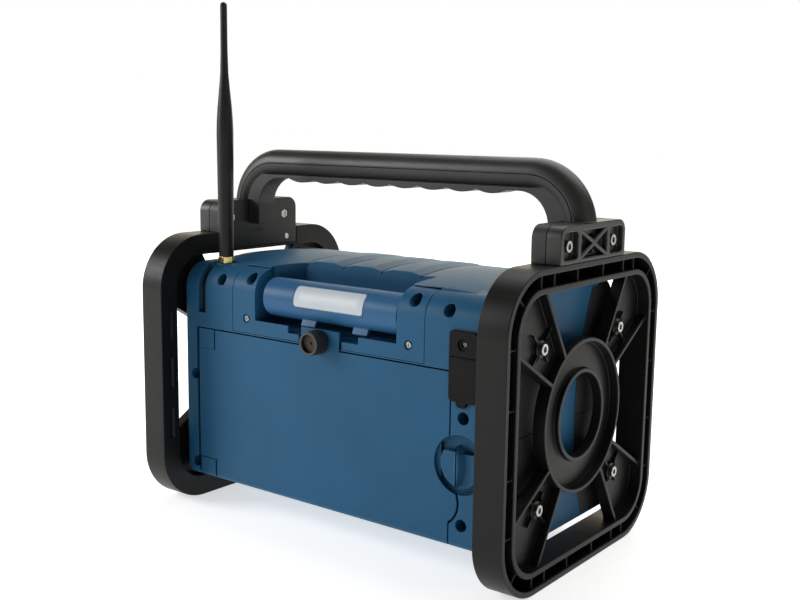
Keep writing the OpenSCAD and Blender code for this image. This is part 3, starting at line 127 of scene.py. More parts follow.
def mouldedFinish(name, look):
    # a moulded or plated surface: colour drifting over a hand's width, grain, scuffs, worn edges, painted
    # shade in nooks
    look = {**usualLook, "worn": look["light"], **look}
    mat = bpy.data.materials.new(name)
    mat.use_nodes = True
    tree = mat.node_tree
    tree.nodes.clear()
    place = addNode(tree, "ShaderNodeTexCoord")
    drift = addNode(tree, "ShaderNodeTexNoise",
                    {"Scale": perMetre(look["driftMm"]), "Detail": 3.0, "Roughness": 0.55},
                    {"Vector": place.outputs["Object"]})
    grain = addNode(tree, "ShaderNodeTexNoise",
                    {"Scale": perMetre(look["grainMm"]), "Detail": 2.0, "Roughness": 0.6},
                    {"Vector": place.outputs["Object"]})
    tint = addNode(tree, "ShaderNodeValToRGB", {}, {"Fac": drift.outputs["Fac"]})
    tint.color_ramp.elements[0].position = 0.32
    tint.color_ramp.elements[0].color = linear(look["dark"])
    tint.color_ramp.elements[1].position = 0.68
    tint.color_ramp.elements[1].color = linear(look["light"])
    # edges: where a rounded normal leaves the true one, broken up by the grain
    rounded = addNode(tree, "ShaderNodeBevel", {"samples": 4, "Radius": look["wearMm"] * mm})
    true = addNode(tree, "ShaderNodeNewGeometry")
    meet = addNode(tree, "ShaderNodeVectorMath", {"operation": "DOT_PRODUCT"},
                   {0: rounded.outputs["Normal"], 1: true.outputs["Normal"]})
    edge = addNode(tree, "ShaderNodeMapRange",
                   {"From Min": 0.995, "From Max": 0.86, "To Min": 0.0, "To Max": look["wear"]},
                   {"Value": meet.outputs["Value"]})
    broken = addNode(tree, "ShaderNodeMath", {"operation": "MULTIPLY"},
                     {0: edge.outputs["Result"], 1: grain.outputs["Fac"]})
    worn = addNode(tree, "ShaderNodeMix", {"data_type": "RGBA", 7: linear(look["worn"])},
                   {0: broken.outputs["Value"], 6: tint.outputs["Color"]})
    # nooks: painted shade, the colour is darkened where a surface is close to another
    near = addNode(tree, "ShaderNodeAmbientOcclusion",
                   {"samples": 6, "Distance": look["nookMm"] * mm})
    shade = addNode(tree, "ShaderNodeMapRange",
                    {"From Min": 0.15, "From Max": 0.85, "To Min": look["nook"], "To Max": 1.0},
                    {"Value": near.outputs["AO"]})
    shaded = addNode(tree, "ShaderNodeVectorMath", {"operation": "SCALE"},
                     {0: worn.outputs[2], "Scale": shade.outputs["Result"]})
    # scuffs: long thin streaks that dull the gloss a little
    stretch = addNode(tree, "ShaderNodeMapping", {"Scale": (1.0, 7.0, 7.0), "Rotation": (0.3, 0.5, 0.2)},
                      {"Vector": place.outputs["Object"]})
    streak = addNode(tree, "ShaderNodeTexNoise",
                     {"Scale": perMetre(look["scuffMm"]), "Detail": 4.0, "Roughness": 0.7},
                     {"Vector": stretch.outputs["Vector"]})
    scuff = addNode(tree, "ShaderNodeMapRange",
                    {"From Min": 0.55, "From Max": 0.75, "To Min": 0.0, "To Max": look["scuff"]},
                    {"Value": streak.outputs["Fac"]})
    rough = addNode(tree, "ShaderNodeMapRange",
                    {"From Min": 0.3, "From Max": 0.7,
                     "To Min": look["rough"] - 0.05, "To Max": look["rough"] + 0.06},
                    {"Value": grain.outputs["Fac"]})
    gloss = addNode(tree, "ShaderNodeMath", {"operation": "ADD"},
                    {0: rough.outputs["Result"], 1: scuff.outputs["Result"]})
    bump = addNode(tree, "ShaderNodeBump",
                   {"Strength": look["bump"], "Distance": look["grainMm"] * mm * 0.25},
                   {"Height": grain.outputs["Fac"]})
    shader = addNode(tree, "ShaderNodeBsdfPrincipled",
                     {"Metallic": look["metal"], "IOR": look["ior"],
                      "Specular IOR Level": look["spec"],
                      "Coat Weight": look["coat"], "Coat Roughness": 0.2},
                     {"Base Color": shaded.outputs["Vector"], "Roughness": gloss.outputs["Value"],
                      "Normal": bump.outputs["Normal"]})
    addNode(tree, "ShaderNodeOutputMaterial", {}, {"Surface": shader.outputs["BSDF"]})
    return mat


looks = {
    # ABS, injection moulded with a fine spark-eroded grain: a soft satin blue
    "blueAbs": {"dark": "#1e5072", "light": "#23587b", "driftMm": 90, "grainMm": 0.9,
                "rough": 0.44, "bump": 0.12, "spec": 0.16, "worn": "#4f7c9f", "wear": 0.7},
    # the lamp tube is a lighter ABS moulding, smoother than the housing
    "lampAbs": {"dark": "#2a5880", "light": "#31608a", "driftMm": 60, "grainMm": 0.8,
                "rough": 0.38, "bump": 0.06, "spec": 0.2},
    # glass-filled polypropylene of the end frames: black, grained, greying in the light
    "frameBlack": {"dark": "#0e0e0e", "light": "#131312", "driftMm": 70, "grainMm": 1.1,
                   "rough": 0.4, "bump": 0.16, "spec": 0.22, "worn": "#454543", "wear": 0.6},
    # ABS front cover, black and satin
    "coverBlack": {"dark": "#191a1b", "light": "#202122", "driftMm": 80, "grainMm": 0.9,
                   "rough": 0.44, "bump": 0.15},
    # thermoplastic rubber over the grip: warm grey, matt and slightly soft
    "gripRubber": {"dark": "#1a1a19", "light": "#212120", "driftMm": 45, "grainMm": 1.2,
                   "rough": 0.42, "bump": 0.14, "spec": 0.55, "worn": "#4c4c48"},
    # nylon lower half of the handle: darker, satin
    "handleNylon": {"dark": "#1c1c1b", "light": "#232322", "driftMm": 50, "grainMm": 1.0,
                    "rough": 0.5, "bump": 0.18},
    # rubber pads let into the end faces: dull blue-black
    "padRubber": {"dark": "#1c1e22", "light": "#25272b", "driftMm": 60, "grainMm": 1.4,
                  "rough": 0.58, "bump": 0.2},
    # zinc-plated steel screws: bright, lightly brushed by the driver
    "zincSteel": {"dark": "#9a9b98", "light": "#bbbbb7", "driftMm": 3, "grainMm": 0.5,
                  "rough": 0.28, "bump": 0.1, "metal": 1.0},
    # nickel-washed brass of the antenna nut: pale gold
    "paleBrass": {"dark": "#cdbd78", "light": "#e6dba0", "driftMm": 4, "grainMm": 0.5,
                  "rough": 0.24, "bump": 0.06, "metal": 1.0},
    # polycarbonate lens, frosted inside: milky white
    "frostedLens": {"dark": "#d9dee1", "light": "#e0e5e8", "driftMm": 25, "grainMm": 1.5,
                    "rough": 0.5, "bump": 0.03, "ior": 1.58, "spec": 0.25, "nook": 0.9},
    # white solder mask of the lamp's light strip
    "stripBoard": {"dark": "#dcdbd2", "light": "#ecebe3", "driftMm": 8, "grainMm": 0.8,
                   "rough": 0.4, "bump": 0.05},
    # ABS knobs, black with a slight polish from fingers
    "knobBlack": {"dark": "#262628", "light": "#303033", "driftMm": 12, "grainMm": 0.7,
                  "rough": 0.4, "bump": 0.12},
    # EPDM rubber of seal and port cover: flat black
    "sealRubber": {"dark": "#0f0f0f", "light": "#151516", "driftMm": 20, "grainMm": 1.0,
                   "rough": 0.66, "bump": 0.2, "spec": 0.15},
    # nylon bodies of the sockets
    "socketNylon": {"dark": "#0d0d0e", "light": "#151516", "driftMm": 8, "grainMm": 0.6,
                    "rough": 0.45, "bump": 0.1},
    # ABS battery tray, black
    "trayBlack": {"dark": "#202021", "light": "#28282a", "driftMm": 50, "grainMm": 1.0,
                  "rough": 0.5, "bump": 0.15},
    # printed film round the battery cells
    "cellFilm": {"dark": "#7f8489", "light": "#999da2", "driftMm": 20, "grainMm": 0.8,
                 "rough": 0.35, "bump": 0.04, "metal": 0.6},
    # soft PVC over the antenna: charcoal with a faint sheen
    "antennaVinyl": {"dark": "#121214", "light": "#18181b", "driftMm": 25, "grainMm": 0.8,
                     "rough": 0.42, "bump": 0.1, "spec": 0.3},
    # ABS grille, black
    "grilleBlack": {"dark": "#1f2022", "light": "#27282a", "driftMm": 40, "grainMm": 1.0,
                    "rough": 0.46, "bump": 0.18},
    # pressed paper of the speaker cone
    "conePaper": {"dark": "#161617", "light": "#1f1f21", "driftMm": 10, "grainMm": 1.0,
                  "rough": 0.8, "bump": 0.3},
    # painted sheet steel of the speaker basket
    "basketPaint": {"dark": "#343537", "light": "#3f4042", "driftMm": 20, "grainMm": 0.6,
                    "rough": 0.4, "bump": 0.06},
    # polycarbonate-ABS control panel, black, finer grain than the cover
    "panelBlack": {"dark": "#17181a", "light": "#1f2022", "driftMm": 60, "grainMm": 0.6,
                   "rough": 0.32, "bump": 0.08},
    # acrylic display window, smoke grey and polished
    "smokeAcrylic": {"dark": "#20272c", "light": "#262e34", "driftMm": 60, "grainMm": 2.0,
                     "rough": 0.08, "bump": 0.0, "coat": 0.6},
    # liquid crystal cell
    "crystalCell": {"dark": "#56624f", "light": "#606c59", "driftMm": 30, "grainMm": 0.6,
                    "rough": 0.25, "bump": 0.02},
    # green solder mask on glass fibre board
    "boardGreen": {"dark": "#1b4630", "light": "#235239", "driftMm": 12, "grainMm": 0.9,
                   "rough": 0.38, "bump": 0.1},
    # silicone rubber buttons: dark grey, matt
    "buttonSilicone": {"dark": "#35373b", "light": "#3f4145", "driftMm": 10, "grainMm": 0.7,
                       "rough": 0.6, "bump": 0.12},
    # nickelled can of the encoder
    "encoderNickel": {"dark": "#84868a", "light": "#9a9ca0", "driftMm": 5, "grainMm": 0.4,
                      "rough": 0.3, "bump": 0.05, "metal": 1.0},
    # rubber plug of the thumbscrew: brown-black, flat
    "capRubber": {"dark": "#3a2e29", "light": "#473932", "driftMm": 8, "grainMm": 0.7,
                  "rough": 0.6, "bump": 0.2, "spec": 0.3, "nook": 0.85},
    # pale ink of the digits on the buttons
    "legendPrint": {"dark": "#8e9092", "light": "#a2a4a6", "driftMm": 6, "grainMm": 0.4,
                    "rough": 0.5, "bump": 0.04},
    # zinc-plated steel of the small sunk screws: the large screws' steel painted a little darker, a painted
    # shade for their counterbores
    "zincSteelInShade": {"dark": "#8f8f8c", "light": "#b4b4b0", "driftMm": 2, "grainMm": 0.4,
                  "rough": 0.3, "bump": 0.1, "metal": 1.0, "nook": 0.75},
}
finish = {name: mouldedFinish(name, look) for name, look in looks.items()}

lensWindow = {  # millimetres and degrees; the middle is on the lamp's axis
    "middle": (1.05, 70.5, 191.5), "turn": 22.5, "radius": 16.2, "half": (36.3, 9.75), "corner": 3.4,
    # fade, fadeTo and rim: the painted shade that greys the window towards its rim
    "fade": 6.0, "fadeTo": 0.6, "border": (-1.3, 0.0), "rim": "#a3b0bb", "tube": "#2e5c85",
}


def windowInTube(mat, win):
    # the clear window is moulded into the tube: rounded corners, milky middle, and painted shade that greys
    # it towards the rim
    tree = mat.node_tree
    shader = next(n for n in tree.nodes if n.type == "BSDF_PRINCIPLED")
    milky = shader.inputs["Base Color"].links[0].from_socket
    place = addNode(tree, "ShaderNodeTexCoord")
    local = addNode(tree, "ShaderNodeMapping",
                    {"vector_type": "TEXTURE", "Location": [v * mm for v in win["middle"]],
                     "Rotation": (radians(win["turn"]), 0.0, 0.0)}, {"Vector": place.outputs["Object"]})
    split = addNode(tree, "ShaderNodeSeparateXYZ", {}, {"Vector": local.outputs["Vector"]})
    turn = addNode(tree, "ShaderNodeMath", {"operation": "ARCTAN2"},
                   {0: split.outputs["Z"], 1: split.outputs["Y"]})
    arc = addNode(tree, "ShaderNodeMath", {"operation": "MULTIPLY", 1: win["radius"] * mm},
                  {0: turn.outputs["Value"]})
    beyond = []
    for socket, half in ((split.outputs["X"], win["half"][0]), (arc.outputs["Value"], win["half"][1])):
        size = addNode(tree, "ShaderNodeMath", {"operation": "ABSOLUTE"}, {0: socket})
        beyond.append(addNode(tree, "ShaderNodeMath",
                              {"operation": "SUBTRACT", 1: (half - win["corner"]) * mm},
                              {0: size.outputs["Value"]}))
    outer = [addNode(tree, "ShaderNodeMath", {"operation": "MAXIMUM", 1: 0.0}, {0: b.outputs["Value"]})
             for b in beyond]
    pair = addNode(tree, "ShaderNodeCombineXYZ", {}, {"X": outer[0].outputs["Value"],
                                                      "Y": outer[1].outputs["Value"]})
    corner = addNode(tree, "ShaderNodeVectorMath", {"operation": "LENGTH"}, {0: pair.outputs["Vector"]})
    larger = addNode(tree, "ShaderNodeMath", {"operation": "MAXIMUM"},
                     {0: beyond[0].outputs["Value"], 1: beyond[1].outputs["Value"]})
    inner = addNode(tree, "ShaderNodeMath", {"operation": "MINIMUM", 1: 0.0}, {0: larger.outputs["Value"]})
    away = addNode(tree, "ShaderNodeMath", {"operation": "ADD"},
                   {0: corner.outputs["Value"], 1: inner.outputs["Value"]})
    # painted shade: the window's colour greys towards its rim, so the middle reads lighter
    fade = addNode(tree, "ShaderNodeMapRange",
                   {"From Min": (-win["fade"] - win["corner"]) * mm, "From Max": -win["corner"] * mm * 0.2,
                    "To Min": 0.0, "To Max": win["fadeTo"]}, {"Value": away.outputs["Value"]})
    border = addNode(tree, "ShaderNodeMapRange",
                     {"From Min": (win["border"][0] + win["corner"]) * mm,
                      "From Max": (win["border"][1] + win["corner"]) * mm},
                     {"Value": away.outputs["Value"]})
    paintedRimShade = addNode(tree, "ShaderNodeMix", {"data_type": "RGBA", 7: linear(win["rim"])},
                     {0: fade.outputs["Result"], 6: milky})
    framed = addNode(tree, "ShaderNodeMix", {"data_type": "RGBA", 7: linear(win["tube"])},
                     {0: border.outputs["Result"], 6: paintedRimShade.outputs[2]})
    tree.links.new(framed.outputs[2], shader.inputs["Base Color"])


windowInTube(finish["frostedLens"], lensWindow)

finishOfSlot = {
    "blue_housing": "blueAbs", "lamp_blue": "lampAbs", "black_housing": "coverBlack",
    "end_pad": "padRubber", "frame_black": "frameBlack", "handle_grey": "gripRubber",
    "handle_dark": "handleNylon", "steel": "zincSteel", "brass": "paleBrass",
    "lens": "frostedLens", "led_board": "stripBoard", "knob_black": "knobBlack",
    "seal_rubber": "sealRubber", "socket_black": "socketNylon", "tray_black": "trayBlack",
    "cell_wrap": "cellFilm", "antenna_rubber": "antennaVinyl", "grille_black": "grilleBlack",
    "cone_paper": "conePaper", "basket_metal": "basketPaint", "panel_black": "panelBlack",
    "display_clear": "smokeAcrylic", "display_glass": "crystalCell", "board_green": "boardGreen",
    "button_grey": "buttonSilicone", "encoder_metal": "encoderNickel",
}
for nodeName, obj in frame["nodes"].items():
    chosen = finish[finishOfSlot[slotOf[nodeName]]]
    if not obj.material_slots:
        obj.data.materials.append(chosen)
    for slot in obj.material_slots:
        slot.material = chosen
print("materials:", len(finish))


# mouldings with softened edges

rounding = {"merge": 2e-6, "flatDeg": 0.4, "sharpDeg": 32, "segments": 2, "along": 0.9, "weight": 60}


def merged(mesh):
    # a bmesh of the mesh, with its doubles merged
    work = bmesh.new()
    work.from_mesh(mesh)
    bmesh.ops.remove_doubles(work, verts=work.verts, dist=rounding["merge"])
    return work


def drawnIn(work, taper):
    # what lies past a given Y draws in towards a middle plane
    middle = taper["middle"] * mm
    for point in work.verts:
        if point.co.y > taper["from"] * mm:
            point.co.x = middle + (point.co.x - middle) * taper["keep"]


def markEdges(work, crisp):
    # weight 1 on the edges to round; edges in a crisp box stay sharp
    weight = work.edges.layers.float.new("bevel_weight_edge")
    for line in work.edges:
        if len(line.link_faces) != 2:
            continue
        bend = line.calc_face_angle(0.0)
        line[weight] = 1.0 if bend > radians(rounding["sharpDeg"]) else 0.0
        ends = [v.co / mm for v in line.verts]
        run = (ends[1] - ends[0]).normalized()
        for low, high, angle, along in crisp:
            inside = all(a <= c <= b for end in ends for c, a, b in zip(end, low, high))
            runsAlong = along is None or abs(run[along]) > rounding["along"]
            if inside and bend > radians(angle) and runsAlong:
                line[weight] = 0.0
                line.smooth = False


def softened(nodeName, edgeMm, cutters=(), crisp=(), taper=None):
    # copy of a CAD node with its edges rounded, apart from those in the crisp boxes
    mesh = frame["nodes"][nodeName].data.copy()
    work = merged(mesh)
    bmesh.ops.dissolve_limit(work, angle_limit=radians(rounding["flatDeg"]), verts=work.verts,
                             edges=work.edges, use_dissolve_boundaries=False, delimit=set())
    if taper:
        drawnIn(work, taper)
    work.to_mesh(mesh)
    work.free()
    mesh.materials.clear()
    mesh.materials.append(finish[finishOfSlot[slotOf[nodeName]]])
    obj = linked(nodeName + "_soft", mesh)
    if cutters:
        mesh = cutBy(obj, cutters)
    mesh.shade_smooth()
    work = merged(mesh)
    markEdges(work, crisp)
    work.to_mesh(mesh)
    work.free()
    edge = obj.modifiers.new("edge", "BEVEL")
    edge.width = edgeMm * mm
    edge.segments = rounding["segments"]
    edge.profile = 0.5
    edge.limit_method = "WEIGHT"
    edge.use_clamp_overlap = False
    even = obj.modifiers.new("even", "WEIGHTED_NORMAL")
    even.keep_sharp = True
    even.weight = rounding["weight"]
    ready = applied(obj)
    low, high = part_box(nodeName)
    for point in ready.vertices:  # a rounded sharp corner never stands past the moulding
        point.co = [min(max(v, a), b) for v, a, b in zip(point.co, low, high)]
    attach(obj, bodyOf[nodeName])
    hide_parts(nodeName)


def cutterBox(low, high):
    # a box in millimetres that cuts a pocket
    work = bmesh.new()
    bmesh.ops.create_cube(work, size=1.0)
    size = Vector(high) - Vector(low)
    bmesh.ops.scale(work, vec=size * mm, verts=work.verts)
    bmesh.ops.translate(work, vec=(Vector(high) + Vector(low)) * mm / 2, verts=work.verts)
    return linked("cutter", meshFrom("cutter", work))


softEdges = {
    "rear_shell": 0.5, "front_shell": 0.6, "end_frame_left": 0.7, "end_frame_right": 0.7,
    "handle_outer": 0.8, "handle_inner": 0.6, "lamp_bezel": 0.5, "battery_door": 0.5,
    "door_latch": 0.7, "lamp_tube": 0.5, "control_panel": 0.6,
    "port_cover_strap": 0.5, "port_cover_flap": 0.5, "tuning_knob": 0.1,
    "frame_screws": 0.3, "handle_bolts": 0.3,
    "skirt_screws": 0.25, "antenna_nut": 0.35, "speaker_grille_left": 0.4,
    "speaker_grille_right": 0.4, "battery_tray": 0.4,
}
upperHinge = ((127.5, 78.0, 139.0), (150.0, 90.0, 159.5), 20, None)
flapSeam = ((-144.0, 80.0, 168.6), (-116.0, 96.0, 171.6), 20, None)
crispPlaces = {  # corners (mm) of a box, smallest bend (degrees), direction of the edges
    "rear_shell": [((-72.0, -100.0, 200.0), (72.0, 100.0, 245.0), 4, 1), upperHinge],
    "battery_door": [upperHinge],
    "port_cover_strap": [flapSeam],
    "port_cover_flap": [flapSeam],
}
deckLines = {  # dark lines in the crowned deck: millimetres, and degrees to each side of its top
    "x": (-60.0, -20.0, 20.0, 60.0), "wide": 1.3, "deep": 2.0, "above": 8,
    "radius": 280.0, "rise": 2.2, "y": 3.0, "reach": 24, "steps": 48,
}


def ringCutter(x):
    # a thin slice of ring about the axis of the deck's crown, which cuts one line
    half = deckLines["wide"] / 2
    low, high = deckLines["radius"] - deckLines["deep"], deckLines["radius"] + deckLines["above"]
    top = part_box("rear_shell")[1][2] / mm - deckLines["rise"]
    work = bmesh.new()
    corners = [work.verts.new((across * mm, 0, r * mm)) for across, r in
               ((x - half, low), (x + half, low), (x + half, high), (x - half, high))]
    cap = work.faces.new(corners)
    bmesh.ops.rotate(work, cent=(0, 0, 0), verts=work.verts,
                     matrix=Matrix.Rotation(radians(-deckLines["reach"]), 3, "X"))
    bmesh.ops.spin(work, geom=[cap] + list(cap.edges) + list(cap.verts), cent=(0, 0, 0), axis=(1, 0, 0),
                   angle=radians(2 * deckLines["reach"]), steps=deckLines["steps"])
    bmesh.ops.recalc_face_normals(work, faces=work.faces)
    bmesh.ops.translate(work, verts=work.verts,
                        vec=(0, deckLines["y"] * mm, (top - deckLines["radius"]) * mm))
    return linked("cutter", meshFrom("cutter", work))


pockets = {  # core pockets in the frames' inner sides, near the front and back edges
    "x": (159.0, 161.8), "y": (106.4, 110.4), "z": ((149.0, 171.6), (105.4, 131.7), (60.7, 87.5)),
}


def framePockets(side):
    # the boxes that cut one frame's pockets: side 1 is left, -1 is right
    cuts = []
    for low, high in pockets["z"]:
        for end in (-1, 1):
            x = sorted(side * v for v in pockets["x"])
            y = sorted(end * v for v in pockets["y"])
            cuts.append(cutterBox((x[0], y[0], low), (x[1], y[1], high)))
    return cuts


cutsIn = {  # cut away before the edges are rounded
    "end_frame_left": framePockets(1), "end_frame_right": framePockets(-1),
    "rear_shell": [ringCutter(x) for x in deckLines["x"]],
}
tapers = {"door_latch": {"from": 90.0, "middle": -128.0, "keep": 0.34}}  # the grip narrows to a fin
for nodeName, edgeMm in softEdges.items():
    softened(nodeName, edgeMm, cutters=cutsIn.get(nodeName, ()),
             crisp=crispPlaces.get(nodeName, ()), taper=tapers.get(nodeName))
print("softened mouldings:", len(softEdges))


# small screws in the back: a smaller head low in its counterbore

def meshPiece(name, work, look, body):
    # a new piece from a bmesh: closed, facing out, with its finish and body
    bmesh.ops.remove_doubles(work, verts=work.verts, dist=1e-6)
    bmesh.ops.recalc_face_normals(work, faces=work.faces)
    mesh = meshFrom(name, work)
    mesh.materials.append(finish[look])
    obj = linked(name, mesh)
    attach(obj, body)
    return obj


def screwAxes(nodeName):
    # x and z of the middle of each separate screw in the node
    solids = merged(frame["nodes"][nodeName].data)
    left = set(solids.verts)
    middles = []
    for start in solids.verts:
        if start not in left:
            continue
        left.discard(start)
        group, queue = [], [start]
        while queue:
            point = queue.pop()
            group.append(point.co.copy())
            for line in point.link_edges:
                other = line.other_vert(point)
                if other in left:
                    left.discard(other)
                    queue.append(other)
        x, z = ([co[axis] for co in group] for axis in (0, 2))
        middles.append(((min(x) + max(x)) / 2, (min(z) + max(z)) / 2))
    solids.free()
    return sorted(middles)


screwHead = {"top": 86.35, "bottom": 82.0, "round": 0.45, "sides": 40,
             "slot": {"wide": 0.75, "long": 3.6, "deep": 1.3, "turn": 20}}


def crossHeads(name, nodeName, look, radius):
    # pan heads with a cross recess, on the axes of the node's own screws
    top = screwHead["top"] * mm
    depth = top - screwHead["bottom"] * mm
    slot = screwHead["slot"]
    wide, long, deep = (slot[k] * mm for k in ("wide", "long", "deep"))
    heads = bmesh.new()
    cross = bmesh.new()
    for x, z in screwAxes(nodeName):
        toBack = Matrix.Translation((x, top - depth / 2, z)) @ Matrix.Rotation(-pi / 2, 4, "X")
        made = bmesh.ops.create_cone(heads, cap_ends=True, segments=screwHead["sides"], matrix=toBack,
                                     radius1=radius * mm, radius2=radius * mm, depth=depth)
        own = set(made["verts"])
        rim = [e for e in heads.edges if all(v in own and v.co.y > top - 0.01 * mm for v in e.verts)]
        bmesh.ops.bevel(heads, geom=rim, offset=screwHead["round"] * mm, segments=3, profile=0.5,
                        affect="EDGES", material=-1)
        for size in ((wide, long), (long, wide)):
            arm = bmesh.ops.create_cube(cross, size=1.0)
            bmesh.ops.scale(cross, vec=(size[0], deep * 2, size[1]), verts=arm["verts"])
            bmesh.ops.rotate(cross, cent=(0, 0, 0), verts=arm["verts"],
                             matrix=Matrix.Rotation(radians(slot["turn"]), 3, "Y"))
            bmesh.ops.translate(cross, vec=(x, top, z), verts=arm["verts"])
    obj = meshPiece(name, heads, look, bodyOf[nodeName])
    cutBy(obj, [linked("cross", meshFrom("cross", cross))], selfCrossing=True)
    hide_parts(nodeName)


# the small screws take the steel with painted shade
crossHeads("bezel_screw_heads", "bezel_screws", "zincSteelInShade", 2.3)
crossHeads("port_screw_head", "port_cover_screw", "zincSteelInShade", 3.2)
print("back screws made")


# rubber plug in the thumbscrew's hollow head

thumbCap = {  # x and z of its axis, then the turned outline as (radius, y), all in millimetres
    "middle": (8.5, 163.4),
    "profile": ((0, 91.0), (7.36, 91.0), (7.36, 96.9), (7.0, 97.3), (1.5, 97.3), (1.2, 97.7),
                (1.2, 98.6), (0.8, 99.0), (0, 99.0)),
    "sides": 48,
}


work = bmesh.new()
points = [work.verts.new((r * mm, y * mm, 0)) for r, y in thumbCap["profile"]]
lines = [work.edges.new(pair) for pair in zip(points, points[1:])]
bmesh.ops.spin(work, geom=points + lines, cent=(0, 0, 0), axis=(0, 1, 0), angle=2 * pi,
               steps=thumbCap["sides"], use_merge=True)
bmesh.ops.translate(work, vec=(thumbCap["middle"][0] * mm, 0, thumbCap["middle"][1] * mm), verts=work.verts)
meshPiece("thumbscrew_plug", work, "capRubber", bodyOf["door_thumbscrew"])
print("thumbscrew plug made")


# dark sheet at the bottom of the groove beside the antenna: painted shade for the groove's dark depth

strip = {"x": (140.6, 148.4), "axis": (65.7, 192.5), "radius": 16.75, "low": 172.4, "thick": 0.25,
         "steps": 20}
work = bmesh.new()
ends = [work.verts.new((x * mm, 0, strip["radius"] * mm)) for x in strip["x"]]
line = work.edges.new(ends)
turned = bmesh.ops.spin(work, geom=[line] + ends, cent=(0, 0, 0), axis=(1, 0, 0),
                        angle=-pi / 2, steps=strip["steps"])
bmesh.ops.translate(work, vec=(0, strip["axis"][0] * mm, strip["axis"][1] * mm), verts=work.verts)
tail = [g for g in turned["geom_last"] if isinstance(g, bmesh.types.BMEdge)]
down = bmesh.ops.extrude_edge_only(work, edges=tail)
bmesh.ops.translate(work, vec=(0, 0, (strip["low"] - strip["axis"][1]) * mm),
                    verts=[g for g in down["geom"] if isinstance(g, bmesh.types.BMVert)])
bmesh.ops.recalc_face_normals(work, faces=work.faces)
bmesh.ops.solidify(work, geom=work.faces, thickness=strip["thick"] * mm)
# the sheet is painted shade in the groove
meshPiece("side_groove_shade_strip", work, "sealRubber", "housing")
print("groove strip made")


# raised digits on the preset buttons and the power sign

legend = {  # millimetres and degrees; the bar's length and middle are in ring radii
    "height": 7.28, "raise": 0.3, "sign": 2.6, "line": 0.55, "gap": 70, "steps": 28, "bar": (1.1, 0.75),
}


def onButton(name, work, button):
    # lays a flat mark, drawn in XZ about the origin, on the button's front face
    low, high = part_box(button)
    bmesh.ops.translate(work, vec=((low[0] + high[0]) / 2, low[1], (low[2] + high[2]) / 2), verts=work.verts)
    meshPiece(name, work, "legendPrint", bodyOf[button])


for number in range(1, 5):
    text = bpy.data.curves.new("digit", "FONT")
    text.body = str(number)
    text.align_x = "CENTER"
    text.align_y = "CENTER"
    text.size = legend["height"] * mm
    text.extrude = legend["raise"] * mm
    holder = linked("digit", text)
    bpy.context.view_layer.update()
    flat = bpy.data.meshes.new_from_object(holder.evaluated_get(bpy.context.evaluated_depsgraph_get()))
    bpy.data.objects.remove(holder)
    work = bmesh.new()
    work.from_mesh(flat)
    bmesh.ops.rotate(work, cent=(0, 0, 0), matrix=Matrix.Rotation(pi / 2, 3, "X"), verts=work.verts)
    onButton("digit_%d" % number, work, "preset_button_%d" % number)

work = bmesh.new()
halfLine = legend["line"] * mm / 2
ringR = legend["sign"] * mm
relief = legend["raise"] * mm
corners = [work.verts.new((ringR + across, out, 0)) for across, out in
           ((-halfLine, -relief), (halfLine, -relief), (halfLine, relief), (-halfLine, relief))]
cap = work.faces.new(corners)
bmesh.ops.rotate(work, cent=(0, 0, 0), verts=work.verts,
                 matrix=Matrix.Rotation(radians(-(legend["gap"] / 2 + 90)), 3, "Y"))
bmesh.ops.spin(work, geom=[cap] + list(cap.edges) + list(cap.verts), cent=(0, 0, 0), axis=(0, 1, 0),
               angle=radians(360 - legend["gap"]), steps=legend["steps"])
bar = bmesh.ops.create_cube(work, size=1.0)
bmesh.ops.scale(work, vec=(halfLine * 2, relief * 2, ringR * legend["bar"][0]), verts=bar["verts"])
bmesh.ops.translate(work, vec=(0, 0, ringR * legend["bar"][1]), verts=bar["verts"])
onButton("power_sign", work, "power_button")
print("button marks made")


# floor, light and camera

studio = {
    "floorHex": "#f6f6f5", "floorGlow": (0.66, 1.0), "glowFrom": (0.3, 1.1),
    "paperHex": "#ffffff", "fillHex": "#f3f1ea", "fill": 0.14, "middle": (0.0, 0.0, 0.13),
    "boxes": {
        "keyBox": {"size": (1.0, 0.9), "power": 25, "place": (1.5, 1.2, 0.95)},
        "topBox": {"size": (1.6, 1.2), "power": 14, "place": (-0.05, -0.6, 1.25)},
        "frontBox": {"size": (2.8, 1.3), "power": 20, "place": (1.05, -1.4, 0.6), "hex": "#f4ecd0"},
        "endBox": {"size": (0.8, 0.9), "power": 1.2, "place": (-1.6, 0.1, 0.9)},
    },
}


def softbox(name, size, power, place, target, tone):
    data = bpy.data.lights.new(name, "AREA")
    data.shape = "RECTANGLE"
    data.size, data.size_y = size
    data.energy = power
    data.color = linear(tone)[:3]
    lamp = linked(name, data)
    lamp.location = Vector(place)
    lamp.rotation_euler = (Vector(target) - Vector(place)).to_track_quat("-Z", "Y").to_euler()


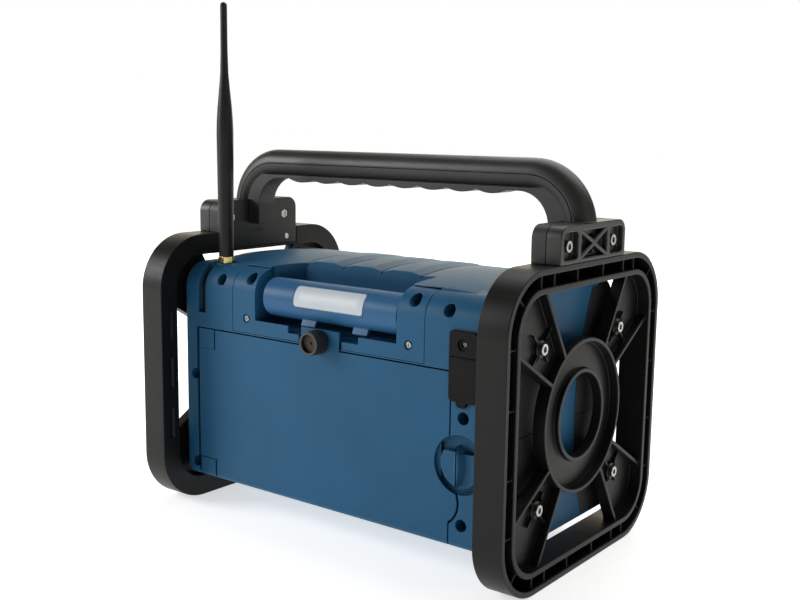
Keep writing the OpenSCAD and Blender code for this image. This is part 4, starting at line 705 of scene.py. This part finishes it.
floorWork = bmesh.new()
bmesh.ops.create_grid(floorWork, x_segments=1, y_segments=1, size=6.0)
floor = linked("floor", meshFrom("floor", floorWork))
floorMat = bpy.data.materials.new("paperSweep")  # white paper with painted light: it glows, weaker near the object and fading to pure white further out
floorMat.use_nodes = True
sweep = floorMat.node_tree
sweep.nodes.clear()
spot = addNode(sweep, "ShaderNodeTexCoord")
far = addNode(sweep, "ShaderNodeVectorMath", {"operation": "LENGTH"}, {0: spot.outputs["Object"]})
# painted light: the glow grows with distance from the object
glow = addNode(sweep, "ShaderNodeMapRange",
               {"From Min": studio["glowFrom"][0], "From Max": studio["glowFrom"][1],
                "To Min": studio["floorGlow"][0], "To Max": studio["floorGlow"][1]},
               {"Value": far.outputs["Value"]})
paperShader = addNode(sweep, "ShaderNodeBsdfPrincipled",
                      {"Base Color": linear(studio["floorHex"]), "Roughness": 0.9,
                       "Specular IOR Level": 0.1, "Emission Color": linear(studio["floorHex"])},
                      {"Emission Strength": glow.outputs["Result"]})
addNode(sweep, "ShaderNodeOutputMaterial", {}, {"Surface": paperShader.outputs["BSDF"]})
floor.data.materials.append(floorMat)

world = bpy.data.worlds.new("studio")
bpy.context.scene.world = world
world.use_nodes = True
sky = world.node_tree
sky.nodes.clear()
seen = addNode(sky, "ShaderNodeLightPath")
fill = addNode(sky, "ShaderNodeBackground", {"Color": linear(studio["fillHex"]), "Strength": studio["fill"]})
paper = addNode(sky, "ShaderNodeBackground", {"Color": linear(studio["paperHex"]), "Strength": 1.0})
both = addNode(sky, "ShaderNodeMixShader", {},
               {0: seen.outputs["Is Camera Ray"], 1: fill.outputs["Background"],
                2: paper.outputs["Background"]})
addNode(sky, "ShaderNodeOutputWorld", {}, {"Surface": both.outputs["Shader"]})

for boxName, box in studio["boxes"].items():
    softbox(boxName, box["size"], box["power"], box["place"], studio["middle"], box.get("hex", "#ffffff"))

shot = {"place": (-0.55665, 0.72470, 0.33260), "azimuth": 217.27, "elevation": 9.02,
        "roll": 0.79, "lens": 49.10}
az, el, roll = (radians(shot[k]) for k in ("azimuth", "elevation", "roll"))
back = Vector((sin(az) * cos(el), -cos(az) * cos(el), sin(el)))
right = (-back).cross(Vector((0, 0, 1))).normalized()
up = right.cross(-back)
turnedRight = cos(roll) * right + sin(roll) * up
turnedUp = -sin(roll) * right + cos(roll) * up
cameraData = bpy.data.cameras.new("camera")
cameraData.lens = shot["lens"]
cameraData.sensor_width = 36.0
camera = linked("camera", cameraData)
basis = Matrix((turnedRight, turnedUp, back)).transposed()
camera.matrix_world = Matrix.Translation(Vector(shot["place"])) @ basis.to_4x4()
bpy.context.scene.camera = camera
bpy.context.scene.view_settings.view_transform = "Standard"
print("stage set")
